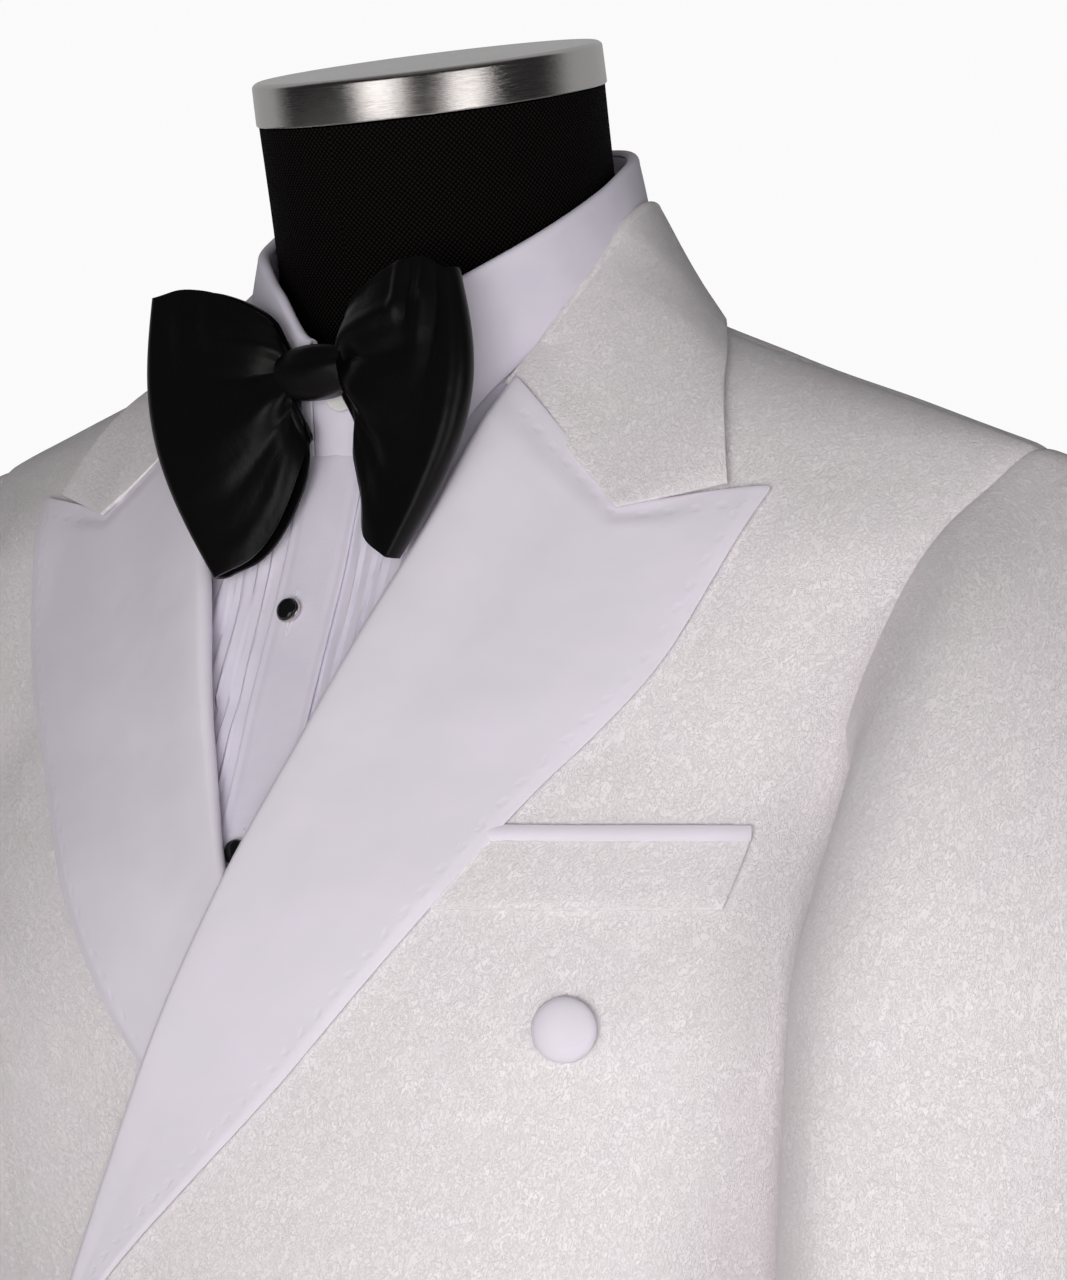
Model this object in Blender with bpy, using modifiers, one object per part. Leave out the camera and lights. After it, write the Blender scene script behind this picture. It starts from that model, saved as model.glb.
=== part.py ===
"""A white double-breasted tuxedo on a limbless dress form.

Metres, +Z up, the floor at Z = 0. The garment faces -Y and the wearer's left side is +X.
Every piece of cloth is an open sheet laid on the body's sections and given its wall.
Places on the body are told by a turn (degrees, 0 at the centre front, 90 at the wearer's
left side, 180 at the centre back) and a level (0 at the jacket's hem, 1 where the cloth
starts to arch over the shoulder, 2 on the shoulder line).
"""
import math
from collections import namedtuple

import bmesh
import bpy
from mathutils import Matrix, Vector
from mathutils.bvhtree import BVHTree

# ------------------------------------------------------------------ driving sizes
HEM_Z = 0.775             # jacket hem above the floor
ARCH_Z = 1.36             # where the cloth starts to arch over the shoulders
SHOULDER_Y = 0.004        # the shoulder seam runs just behind the middle
CLOTH = 0.0014            # jacket and trouser cloth
SATIN = 0.0013            # lapel facings
SHIRTING = 0.0011         # shirt cloth
SEAM = 0.0004             # room between pieces that meet
LAYER = 0.0010            # room between a piece and what lies on it
OVERLAP_LIFT = 0.0058     # the left front rides this far out where it covers the right one
FRONT_EDGE_X = 0.085      # the front edges pass the centre line by this much
BREAK_Z = 1.165           # where the lapel starts to roll
SIDE_TURN = 80.0          # seam between front and side panel
BACK_TURN = 124.0         # seam between side panel and back
NECK_X = 0.0760           # shoulder neck point
HALF_SEAM_TURN = 0.12     # degrees given up by each panel at a seam
SHOULDER_END = 1.994      # panels stop just short of the shoulder line
BUTTON_RADIUS = 0.0101
STUD_RADIUS = 0.0041
MERGE = 0.00005
FACING_STEP = 0.004
LEAST_FOLD, LEFT_FOLD, LATER_FOLD = 0.0006, 0.0010, 0.0009   # half the room inside a lapel's fold

Section = namedtuple("Section", "z half_width front back roundness")
BODY = (
    Section(0.775, 0.196, 0.140, 0.136, 0.80),
    Section(0.900, 0.191, 0.139, 0.138, 0.80),
    Section(1.020, 0.175, 0.138, 0.114, 0.78),
    Section(1.100, 0.166, 0.139, 0.100, 0.72),
    Section(1.180, 0.170, 0.145, 0.104, 0.62),
    Section(1.260, 0.183, 0.150, 0.116, 0.56),
    Section(1.310, 0.192, 0.144, 0.124, 0.85),
    Section(1.360, 0.205, 0.126, 0.126, 1.20),
    Section(1.410, 0.219, 0.110, 0.120, 1.30),
    Section(1.455, 0.231, 0.105, 0.114, 1.30),
    Section(1.520, 0.240, 0.103, 0.110, 1.30),
)
BACK_ROUNDNESS = 0.80

Ridge = namedtuple("Ridge", "x z")
SHOULDER_LINE = (
    Ridge(0.000, 1.545),
    Ridge(0.040, 1.528),
    Ridge(0.075, 1.506),
    Ridge(0.120, 1.488),
    Ridge(0.170, 1.4705),
    Ridge(0.215, 1.4546),
    Ridge(0.260, 1.436),
)

# Ellipses round the neck: half width, half depth, y of the centre
NECKLINE = (0.0770, 0.0830, -0.0160)
SHIRT_NECKLINE = (0.0680, 0.0705, -0.0140)

# Front view of the roll line, from the break up to the gorge and on to the neck point
Edge = namedtuple("Edge", "z x")
ROLL_LINE = (
    Edge(1.165, -0.074),
    Edge(1.184, -0.062),
    Edge(1.230, -0.038),
    Edge(1.277, -0.016),
    Edge(1.320, 0.003),
    Edge(1.360, 0.019),
    Edge(1.400, 0.033),
    Edge(1.430, 0.044),
    Edge(1.476, 0.057),
)
# Free edge of the lapel, from the break up to the peak
LAPEL_EDGE = (
    Edge(1.165, -0.066),
    Edge(1.188, -0.044),
    Edge(1.225, -0.003),
    Edge(1.260, 0.033),
    Edge(1.300, 0.066),
    Edge(1.340, 0.095),
    Edge(1.380, 0.124),
    Edge(1.410, 0.138),
    Edge(1.438, 0.1455),
)
NOTCH = Edge(1.433, 0.099)
UNDER_COLLAR = 0.0040     # the fronts' neck edge lies this far back from the collar's stand
LAPEL_ROOT = 0.0042       # the lapel's hidden edge lies this far inside its roll

# Armhole seam on the front, on the back, and under the arm
ARMHOLE_FRONT = (
    Edge(1.323, 0.1885),
    Edge(1.333, 0.1815),
    Edge(1.348, 0.1775),
    Edge(1.368, 0.1775),
    Edge(1.400, 0.186),
    Edge(1.425, 0.196),
    Edge(1.442, 0.207),
    Edge(1.4546, 0.215),
)
ARMHOLE_BACK = (
    Edge(1.360, 0.1690),
    Edge(1.380, 0.1755),
    Edge(1.405, 0.186),
    Edge(1.430, 0.199),
    Edge(1.4546, 0.215),
)
UNDERARM_DIP = 0.021


# ------------------------------------------------------------------ curves through tables
def through(xs, ys, x):
    """Smooth curve through the points (xs, ys), read at x and held at both ends."""
    if x <= xs[0]:
        return ys[0]
    if x >= xs[-1]:
        return ys[-1]
    i = max(k for k in range(len(xs) - 1) if xs[k] <= x)

    def slope(k):
        a, b = max(k - 1, 0), min(k + 1, len(xs) - 1)
        return (ys[b] - ys[a]) / (xs[b] - xs[a])

    h = xs[i + 1] - xs[i]
    t = (x - xs[i]) / h
    return (ys[i] * (2 * t**3 - 3 * t**2 + 1) + ys[i + 1] * (3 * t**2 - 2 * t**3)
            + h * (slope(i) * (t**3 - 2 * t**2 + t) + slope(i + 1) * (t**3 - t**2)))


def column(table, key, value, name):
    """The named column of a table, read smoothly where its key column has this value."""
    return through([getattr(r, key) for r in table], [getattr(r, name) for r in table], value)


def mix(a, b, t):
    return a + (b - a) * t


def ease(a, b, x):
    """0 before a, 1 after b, smooth between; also for b < a."""
    t = min(max((x - a) / (b - a), 0.0), 1.0)
    return t * t * (3 - 2 * t)


# ------------------------------------------------------------------ the body's surface
def ridge_z(x):
    return column(SHOULDER_LINE, "x", abs(x), "z")


def section_z(level, x):
    """Height whose section serves this level at this x."""
    if level <= 1:
        return mix(HEM_Z, ARCH_Z, level)
    return ARCH_Z + (ridge_z(x) - ARCH_Z) * math.sin(math.radians(90 * (level - 1)))


def half_width(level, x=0.0):
    return column(BODY, "z", section_z(level, x), "half_width")


def level_at(x, z):
    """Level of the point of the body at this x and height."""
    if z <= ARCH_Z:
        return (z - HEM_Z) / (ARCH_Z - HEM_Z)
    rise = min((z - ARCH_Z) / (ridge_z(x) - ARCH_Z), 1.0)
    return 1 + math.degrees(math.asin(rise)) / 90


def turn_at(x, level):
    """Turn, in front, of the point of the body at this x and level."""
    return math.degrees(math.asin(max(-1.0, min(1.0, x / half_width(level, x)))))


def skin(turn, level, out=0.0, narrow=0.0):
    """A point of the body; out moves it away from the body and narrow draws in its sides."""
    across = math.sin(math.radians(turn))
    along = math.cos(math.radians(turn))
    arch = math.cos(math.radians(90 * (level - 1))) if level > 1 else 1.0
    x = 0.2 * across
    for _ in range(5 if level > 1 else 1):
        x = half_width(level, x) * across
    z = section_z(level, x)
    if along >= 0:
        depth = column(BODY, "z", z, "front") + out + SHOULDER_Y
        y = SHOULDER_Y - depth * along ** column(BODY, "z", z, "roundness") * arch
    else:
        depth = column(BODY, "z", z, "back") + out - SHOULDER_Y
        y = SHOULDER_Y + depth * (-along) ** BACK_ROUNDNESS * arch
    if level > 1:
        z += out * math.sin(math.radians(90 * (level - 1)))
    return Vector((x + (out - narrow) * across, y, z))


def level_over(x, y, out):
    """Level at which the body, moved out, has this x and y."""
    name, sign = ("front", 1) if y < SHOULDER_Y else ("back", -1)
    level = 1.6
    for _ in range(4):
        depth = column(BODY, "z", section_z(level, x), name) + out + sign * SHOULDER_Y
        depth *= math.sqrt(1 - (x / half_width(level, x)) ** 2)
        share = min(max(sign * (SHOULDER_Y - y) / depth, 0.0), 1.0)
        level = 1 + math.degrees(math.acos(share)) / 90
    return min(level, SHOULDER_END)


def neckline_level(x, ring, out):
    """Level at which the body meets the upright neck ring at this x, in front and behind."""
    half_x, half_y, y_centre = ring
    reach = half_y * math.sqrt(max(0.0, 1 - (x / half_x) ** 2))
    return level_over(x, y_centre - reach, out), level_over(x, y_centre + reach, out)


def on_front(x, z, out=0.0):
    """The point of the front at this x and height."""
    level = level_at(x, z)
    return skin(turn_at(x, level), level, out)


def clear_of_body(point, out):
    """The point, moved out in front or behind where it lies inside the body's cloth."""
    if point.z >= ridge_z(point.x) + out:
        return point
    level = min(level_at(point.x, point.z), 2.0)
    turn = turn_at(point.x, level)
    front, back = skin(turn, level, out), skin(180 - turn, level, out)
    if front.y < point.y < back.y:
        nearest = front.y if point.y - front.y < back.y - point.y else back.y
        return Vector((point.x, nearest, point.z))
    return point


# ------------------------------------------------------------------ making pieces
PARTS = None
CUTTERS = None
MATERIALS = {}
FINISHES = {
    # name: (colour, roughness, metallic)
    "jacquard": ((0.80, 0.78, 0.74), 0.62, 0.0),
    "satin": ((0.72, 0.69, 0.76), 0.38, 0.0),
    "shirting": ((0.74, 0.73, 0.80), 0.70, 0.0),
    "black_satin": ((0.010, 0.010, 0.012), 0.35, 0.0),
    "black_cloth": ((0.012, 0.011, 0.012), 0.85, 0.0),
    "steel": ((0.62, 0.60, 0.57), 0.28, 1.0),
    "jet": ((0.008, 0.008, 0.009), 0.12, 0.0),
    "pearl": ((0.72, 0.72, 0.70), 0.20, 0.0),
}


def material(name):
    if name not in MATERIALS:
        made = bpy.data.materials.new(name)
        made.use_nodes = True
        shader = made.node_tree.nodes["Principled BSDF"]
        colour, roughness, metallic = FINISHES[name]
        shader.inputs["Base Color"].default_value = (*colour, 1.0)
        shader.inputs["Roughness"].default_value = roughness
        shader.inputs["Metallic"].default_value = metallic
        MATERIALS[name] = made
    return MATERIALS[name]


def piece(name, finish, bm, smooth_angle=50.0):
    """A named object of the model from a bmesh, shaded smooth."""
    mesh = bpy.data.meshes.new(name)
    bm.to_mesh(mesh)
    bm.free()
    mesh.shade_smooth()
    mesh.set_sharp_from_angle(angle=math.radians(smooth_angle))
    mesh.materials.append(material(finish))
    made = bpy.data.objects.new(name, mesh)
    PARTS.objects.link(made)
    return made


def sheet(name, finish, rows, columns, point, wall, mirrored=False, turn_over=False):
    """Cloth: an open grid whose points follow point(u, v), with its wall on the outer side.

    u runs round the body in the direction of growing turn and v runs upwards.
    """
    bm = bmesh.new()
    bmesh.ops.create_grid(bm, x_segments=columns, y_segments=rows, size=1.0)
    for vert in bm.verts:
        place = point((vert.co.x + 1) / 2, (vert.co.y + 1) / 2)
        vert.co = Vector((-place.x, place.y, place.z)) if mirrored else place
    if mirrored != turn_over:
        bmesh.ops.reverse_faces(bm, faces=bm.faces[:])
    made = piece(name, finish, bm)
    solidify = made.modifiers.new("wall", "SOLIDIFY")
    solidify.thickness = wall
    solidify.offset = 1.0
    solidify.use_quality_normals = True
    return made


def tube(name, finish, rows, columns, point, wall, mirrored=False):
    """Cloth closed round a tube: point(angle in degrees, v), the angle growing with the turn."""
    bm = bmesh.new()
    bmesh.ops.create_grid(bm, x_segments=columns, y_segments=rows, size=1.0)
    for vert in bm.verts:
        place = point(180 * (vert.co.x + 1), (vert.co.y + 1) / 2)
        vert.co = Vector((-place.x, place.y, place.z)) if mirrored else place
    bmesh.ops.remove_doubles(bm, verts=bm.verts[:], dist=MERGE)
    if mirrored:
        bmesh.ops.reverse_faces(bm, faces=bm.faces[:])
    made = piece(name, finish, bm)
    solidify = made.modifiers.new("wall", "SOLIDIFY")
    solidify.thickness = wall
    solidify.offset = 1.0
    solidify.use_quality_normals = True
    return made


def turned(name, finish, profile, steps, place, facing):
    """A round piece: a profile of (radius, height) turned about its axis and set on a place."""
    bm = bmesh.new()
    verts = [bm.verts.new((radius, 0, height)) for radius, height in profile]
    for a, b in zip(verts, verts[1:]):
        bm.edges.new((a, b))
    made = piece(name, finish, bm)
    screw = made.modifiers.new("turn", "SCREW")
    screw.axis = "Z"
    screw.steps = screw.render_steps = steps
    screw.use_merge_vertices = True
    screw.merge_threshold = MERGE
    screw.use_smooth_shade = True
    made.matrix_world = (Matrix.Translation(place)
                         @ Vector(facing).to_track_quat("Z", "Y").to_matrix().to_4x4())
    return made


def facing_at(x, z, out):
    """Direction in which the front faces at this x and height."""
    across = on_front(x + FACING_STEP, z, out) - on_front(x - FACING_STEP, z, out)
    up = on_front(x, z + FACING_STEP, out) - on_front(x, z - FACING_STEP, out)
    return across.cross(up).normalized()


# ------------------------------------------------------------------ jacket body
# Heights of the rows shared by the fronts, the sides and the back, up to the arch
BODY_ROW_HEIGHTS = (0.775, 0.900, 1.020, 1.100, BREAK_Z, 1.184, 1.220, 1.253, 1.285, 1.323, ARCH_Z)
ROWS_BELOW = len(BODY_ROW_HEIGHTS) - 1
ROWS_ABOVE = 5
BODY_ROWS = ROWS_BELOW + ROWS_ABOVE
SIDE_ROWS = 10


def row_level(row, heights):
    """Level of a row of a panel, counted from its lowest one."""
    k = min(int(row), len(heights) - 2)
    z = mix(heights[k], heights[k + 1], row - k)
    return (z - HEM_Z) / (ARCH_Z - HEM_Z)


def body_level(v, top=SHOULDER_END):
    """Level of a row of a body panel."""
    row = v * BODY_ROWS
    if row <= ROWS_BELOW:
        return row_level(row, BODY_ROW_HEIGHTS)
    return 1 + (top - 1) * (row - ROWS_BELOW) / ROWS_ABOVE


def levels_of(table):
    return [level_at(row.x, row.z) for row in table]


def roll_x(level):
    """x of the roll line at a level, below the break the front edge."""
    levels = levels_of(ROLL_LINE) + [2.0]
    return through(levels, [row.x for row in ROLL_LINE] + [NECK_X], level)


def front_edge_x(level):
    """Inner edge of a front: straight below the break, then just inside the lapel's root."""
    if level < level_at(0, BREAK_Z - SEAM):
        return mix(-FRONT_EDGE_X + 0.004, -FRONT_EDGE_X, ease(0, 0.15, level))
    return roll_x(level) + LAPEL_ROOT + 3 * SEAM + UNDER_COLLAR * ease(1.45, 1.75, level)


def front_outer_x(level):
    """Outer edge of a front: the side seam, then the armhole."""
    levels = levels_of(ARMHOLE_FRONT)
    if level >= levels[0]:
        return through(levels, [row.x for row in ARMHOLE_FRONT], level) - SEAM
    return half_width(level) * math.sin(math.radians(SIDE_TURN - HALF_SEAM_TURN))


def overlap_lift(x, z):
    """How far the left front lies outside the body where it passes over the right one."""
    return OVERLAP_LIFT * ease(0.150, 0.092, x) * ease(1.44, 1.34, z)


def front_point(u, v, lifted):
    level = body_level(v)
    turn = mix(turn_at(front_edge_x(level), level), turn_at(front_outer_x(level), level), u)
    place = skin(turn, level)
    lift = overlap_lift(place.x, place.z)
    return skin(turn, level, lift, lift) if lifted else place


def underarm_z(u):
    """Height of the armhole seam under the arm, from the front seam to the back one."""
    return mix(ARMHOLE_FRONT[0].z, ARMHOLE_BACK[0].z, u) - UNDERARM_DIP * math.sin(math.pi * u)


def side_point(u, v):
    """The side panel: its rows are those of its neighbours up to the two below the armhole."""
    turn = mix(SIDE_TURN + HALF_SEAM_TURN, BACK_TURN - HALF_SEAM_TURN, u)
    top = (underarm_z(u) - SEAM - HEM_Z) / (ARCH_Z - HEM_Z)
    row = v * SIDE_ROWS
    if row <= SIDE_ROWS - 2:
        return skin(turn, row_level(row, BODY_ROW_HEIGHTS))
    low = row_level(SIDE_ROWS - 2, BODY_ROW_HEIGHTS)
    return skin(turn, mix(low, top, (row - SIDE_ROWS + 2) / 2))


def back_outer_x(level):
    levels = levels_of(ARMHOLE_BACK)
    if level >= levels[0]:
        return through(levels, [row.x for row in ARMHOLE_BACK], level) - SEAM
    return half_width(level) * math.sin(math.radians(BACK_TURN + HALF_SEAM_TURN))


BACK_COLUMNS = 9
NECK_COLUMN = 5 / BACK_COLUMNS


def back_point(u, v):
    past_neck = max(0.0, (u - NECK_COLUMN) / (1 - NECK_COLUMN))
    x_top = NECK_X * math.cos(math.pi / 2 * past_neck)
    top = neckline_level(x_top, NECKLINE, 0.0)[1] if past_neck else SHOULDER_END
    level = body_level(v, top)
    outer = 180 - turn_at(back_outer_x(level), level)
    middle = 180 - HALF_SEAM_TURN
    even = mix(outer, middle, u)
    return skin(mix(even, min(180 - turn_at(x_top, level), middle), ease(0.5, 1.0, v))
                if past_neck else mix(even, mix(outer, 180 - turn_at(NECK_X, level),
                                                u / NECK_COLUMN), ease(0.5, 1.0, v)), level)


FRONT_COLUMNS = 11
GUIDE_MARGIN = 0.030      # how far a guide reaches past the front's inner edge
GUIDE_COLUMNS = 2


def front_guide(lifted):
    """The front's own facets, carried on past its inner edge, to lay pieces on."""
    points = []
    for row in range(BODY_ROWS + 1):
        v = row / BODY_ROWS
        level = body_level(v)
        for k in range(GUIDE_COLUMNS):
            x = front_edge_x(level) - GUIDE_MARGIN * (GUIDE_COLUMNS - k) / GUIDE_COLUMNS
            place = skin(turn_at(x, level), level)
            lift = overlap_lift(place.x, place.z) if lifted else 0.0
            points.append(skin(turn_at(x, level), level, lift, lift))
        points += [front_point(k / FRONT_COLUMNS, v, lifted) for k in range(FRONT_COLUMNS + 1)]
    width = GUIDE_COLUMNS + FRONT_COLUMNS + 1
    faces = [(a, a + 1, a + 1 + width, a + width)
             for a in range(len(points) - width) if a % width != width - 1]
    return BVHTree.FromPolygons(points, faces)


def laid_on(guide, x, z, out):
    """The point of a guide at this x and height, moved out of the body by this much."""
    facing = facing_at(x, z, 0.0)
    hit = guide.ray_cast(Vector((x, -1.0, z)), Vector((0, 1, 0)))[0]
    return (hit or on_front(x, z)) + facing * out


def make_jacket_body():
    sheet("front_left", "jacquard", BODY_ROWS, FRONT_COLUMNS,
          lambda u, v: front_point(u, v, True), CLOTH)
    sheet("front_right", "jacquard", BODY_ROWS, FRONT_COLUMNS,
          lambda u, v: front_point(u, v, False), CLOTH, mirrored=True)
    for side, mirrored in (("left", False), ("right", True)):
        sheet(f"side_{side}", "jacquard", SIDE_ROWS, 5, side_point, CLOTH, mirrored)
        sheet(f"back_{side}", "jacquard", BODY_ROWS, BACK_COLUMNS, back_point, CLOTH, mirrored)


# ------------------------------------------------------------------ lapels
LAPEL_ROWS = 15
LAPEL_LIFT = 0.0018       # room between the lapel and the front under it
FOLD_STEPS = 4
LAPEL_COLUMNS = FOLD_STEPS + 8
NOTCH_COLUMN = 4 / 8


def lapel_plan(s, t):
    """Front-view place on the lapel: s runs up it, t from the roll line to the free edge."""
    z_roll = mix(BREAK_Z, ROLL_LINE[-1].z, s)
    z_edge = mix(BREAK_Z, LAPEL_EDGE[-1].z, s)
    roll = Vector((column(ROLL_LINE, "z", z_roll, "x"), z_roll))
    edge = Vector((column(LAPEL_EDGE, "z", z_edge, "x"), z_edge))
    gorge, peak = (Vector((row.x, row.z)) for row in (ROLL_LINE[-1], LAPEL_EDGE[-1]))
    notch = Vector((NOTCH.x, NOTCH.z))
    if t <= NOTCH_COLUMN:
        top = gorge.lerp(notch, t / NOTCH_COLUMN)
    else:
        top = notch.lerp(peak, (t - NOTCH_COLUMN) / (1 - NOTCH_COLUMN))
    return roll.lerp(edge, t) + (top - gorge.lerp(peak, t)) * s**5


def lapel_point(u, v, left, guide):
    """A lapel: its cloth turns round the roll line and lies back on the front."""
    s = v
    fold = (LEFT_FOLD if left else LEAST_FOLD) + LATER_FOLD * ease(0.45, 0.8, s)
    root = lapel_plan(s, 0)
    across = (lapel_plan(s, 0.25) - root).normalized()
    step = u * LAPEL_COLUMNS
    if step <= FOLD_STEPS:
        angle = math.pi * max(step - 1, 0) / (FOLD_STEPS - 1)
        along = LAPEL_ROOT if step < 1 else fold + CLOTH - fold * math.sin(angle)
        height = CLOTH + fold * (1 - math.cos(angle))
        place = root + across * along
    else:
        t = (step - FOLD_STEPS) / (LAPEL_COLUMNS - FOLD_STEPS)
        width = (lapel_plan(s, 1) - root).length
        near = (fold + CLOTH) / width
        place = lapel_plan(s, mix(near, 1, t))
        height = CLOTH + mix(2 * fold, LAPEL_LIFT, ease(0, 0.35, t))
    return laid_on(guide, place.x, place.y, height)


def make_lapels():
    for side, left in (("left", True), ("right", False)):
        guide = front_guide(left)
        sheet(f"lapel_{side}", "satin", LAPEL_ROWS, LAPEL_COLUMNS,
              lambda u, v: lapel_point(u, v, left, guide), SATIN, mirrored=not left)


# ------------------------------------------------------------------ sleeves
Ring = namedtuple("Ring", "z x y half_breadth half_depth twist")
SLEEVE = (
    Ring(0.860, 0.238, -0.092, 0.038, 0.056, 10.0),
    Ring(0.960, 0.236, -0.078, 0.043, 0.064, 12.0),
    Ring(1.080, 0.231, -0.066, 0.047, 0.072, 16.0),
    Ring(1.200, 0.227, -0.058, 0.050, 0.077, 22.0),
    Ring(1.285, 0.231, -0.046, 0.053, 0.081, 26.0),
)
SLEEVE_COLUMN = 22.5               # degrees; a column meets each row of the body's armhole
SLEEVE_SEAMS = (-45.0, 202.5)      # front and back seam, by turn round the sleeve
SLEEVE_ROWS = 12
SLEEVE_ROWS_BELOW = 7
SLEEVE_CLEAR = 0.0065              # room between the sleeve's inner side and the body
ARMHOLE_CENTRE = Vector((0.190, 0.002, 1.385))


def beside_body(point, out):
    """The point, moved sideways where it lies inside the body's side."""
    level = min(level_at(point.x, point.z), 2.0)
    z = section_z(level, point.x)
    forward = SHOULDER_Y - point.y
    if forward >= 0:
        depth, roundness = column(BODY, "z", z, "front"), column(BODY, "z", z, "roundness")
    else:
        depth, roundness = column(BODY, "z", z, "back"), BACK_ROUNDNESS
    reach = min(abs(forward) / (depth + out), 1.0) ** (1 / roundness)
    least = (half_width(level, point.x) + out) * math.sqrt(1 - reach * reach)
    return Vector((max(point.x, least), point.y, point.z))


def sleeve_ring(turn, z, inset):
    centre = Vector((column(SLEEVE, "z", z, "x"), column(SLEEVE, "z", z, "y"), z))
    across = (column(SLEEVE, "z", z, "half_breadth") - inset) * math.sin(math.radians(turn))
    along = -(column(SLEEVE, "z", z, "half_depth") - inset) * math.cos(math.radians(turn))
    twist = Matrix.Rotation(-math.radians(column(SLEEVE, "z", z, "twist")), 3, "Z")
    return beside_body(centre + twist @ Vector((across, along, 0)), SLEEVE_CLEAR + inset)


def armhole(turn):
    """Armhole seam by turn: 90 at the shoulder tip, 270 under the arm."""
    front_seam, back_seam = SLEEVE_SEAMS
    turn %= 360
    if back_seam < turn < front_seam + 360:
        u = (front_seam + 360 - turn) / (front_seam + 360 - back_seam)
        return skin(mix(SIDE_TURN, BACK_TURN, u), (underarm_z(u) - HEM_Z) / (ARCH_Z - HEM_Z))
    front = turn < 90 or turn > 270
    table = ARMHOLE_FRONT if front else ARMHOLE_BACK
    levels = levels_of(table)
    steps = ((90 - turn) % 360 if front else turn - 90) / SLEEVE_COLUMN
    if steps <= ROWS_ABOVE:
        level = mix(SHOULDER_END, 1.0, steps / ROWS_ABOVE)
    else:
        level = mix(1.0, levels[0], steps - ROWS_ABOVE)
    body_turn = turn_at(through(levels, [row.x for row in table], level), level)
    return skin(body_turn if front else 180 - body_turn, level)


def sleeve_point(turn, v, inset=0.0):
    """A sleeve: rings up to the underarm, then a head that curves in to the armhole."""
    row = v * SLEEVE_ROWS
    if row <= SLEEVE_ROWS_BELOW:
        return sleeve_ring(turn, mix(SLEEVE[0].z, SLEEVE[-1].z, row / SLEEVE_ROWS_BELOW), inset)
    t = (row - SLEEVE_ROWS_BELOW) / (SLEEVE_ROWS - SLEEVE_ROWS_BELOW)
    low = sleeve_ring(turn, SLEEVE[-1].z, inset)
    high = armhole(turn)
    radial = (high - ARMHOLE_CENTRE).normalized()
    outward = Vector((1, 1.6 * radial.y, 0.25 * radial.z)).normalized()
    under = ease(20, 110, abs((turn + 90) % 360 - 180))
    high += outward * (2 * SEAM + 1.6 * CLOTH * under) - radial * inset
    reach = (high - low).length
    below = sleeve_ring(turn, SLEEVE[-1].z - 0.01, inset)
    rise = (low - below).normalized() * reach * 1.0
    arrive = -outward * reach * 0.9
    return (low * (2 * t**3 - 3 * t**2 + 1) + high * (3 * t**2 - 2 * t**3)
            + rise * (t**3 - 2 * t**2 + t) + arrive * (t**3 - t**2))


def make_sleeves():
    front, back = SLEEVE_SEAMS
    half_gap = 0.3
    top_columns = round((back - front) / SLEEVE_COLUMN)
    under_columns = round(360 / SLEEVE_COLUMN) - top_columns
    for side, mirrored in (("left", False), ("right", True)):
        sheet(f"top_sleeve_{side}", "jacquard", SLEEVE_ROWS, top_columns,
              lambda u, v: sleeve_point(mix(front + half_gap, back - half_gap, u), v),
              CLOTH, mirrored)
        sheet(f"under_sleeve_{side}", "jacquard", SLEEVE_ROWS, under_columns,
              lambda u, v: sleeve_point(mix(back + half_gap, front + 360 - half_gap, u), v),
              CLOTH, mirrored)


# ------------------------------------------------------------------ jacket collar
CollarCut = namedtuple("CollarCut", "turn fold_z stand_z edge_x edge_lap")
COLLAR = (
    # edge_lap is the level of the outer edge, counted on past 2 down the back
    CollarCut(54, 1.4810, 1.4785, 0.1320, 1.458),
    CollarCut(60, 1.4885, 1.4830, 0.1276, 1.531),
    CollarCut(66, 1.4940, 1.4870, 0.1236, 1.600),
    CollarCut(73, 1.5044, 1.4925, 0.1190, 1.678),
    CollarCut(80, 1.5137, 1.4970, 0.1130, 1.778),
    CollarCut(87, 1.5225, 1.5000, 0.1060, 1.872),
    CollarCut(95, 1.5320, 1.5035, 0.0965, 1.985),
    CollarCut(110, 1.5410, 1.5060, 0.0790, 2.170),
    CollarCut(135, 1.5460, 1.5080, 0.0520, 2.400),
    CollarCut(180, 1.5490, 1.5110, 0.0000, 2.520),
)
COLLAR_FOLD_RING = (0.0690, 0.0825, -0.0180)
COLLAR_STAND_RING = (0.0755, 0.0830, -0.0170)
COLLAR_FOLD_RADIUS = 0.0011
COLLAR_SWELL = 0.0012     # how far the fall's middle rises from a straight line
COLLAR_SWELL_OUT = 0.0006
COLLAR_ROWS = 9
COLLAR_FALL_ROWS = 4
COLLAR_FOLD_ROWS = 3
COLLAR_COLUMNS = 20
COLLAR_LIFT = 0.0046


def ring_point(ring, turn, z):
    half_x, half_y, y = ring
    return Vector((half_x * math.sin(math.radians(turn)),
                   y - half_y * math.cos(math.radians(turn)), z))


def lap_point(x, lap, out):
    """A point of the body told by its x and its lap: past 2 the level falls down the back."""
    level = min(lap, 4 - lap)
    turn = turn_at(x, level)
    return skin(turn if lap <= 2 else 180 - turn, level, out)


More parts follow.
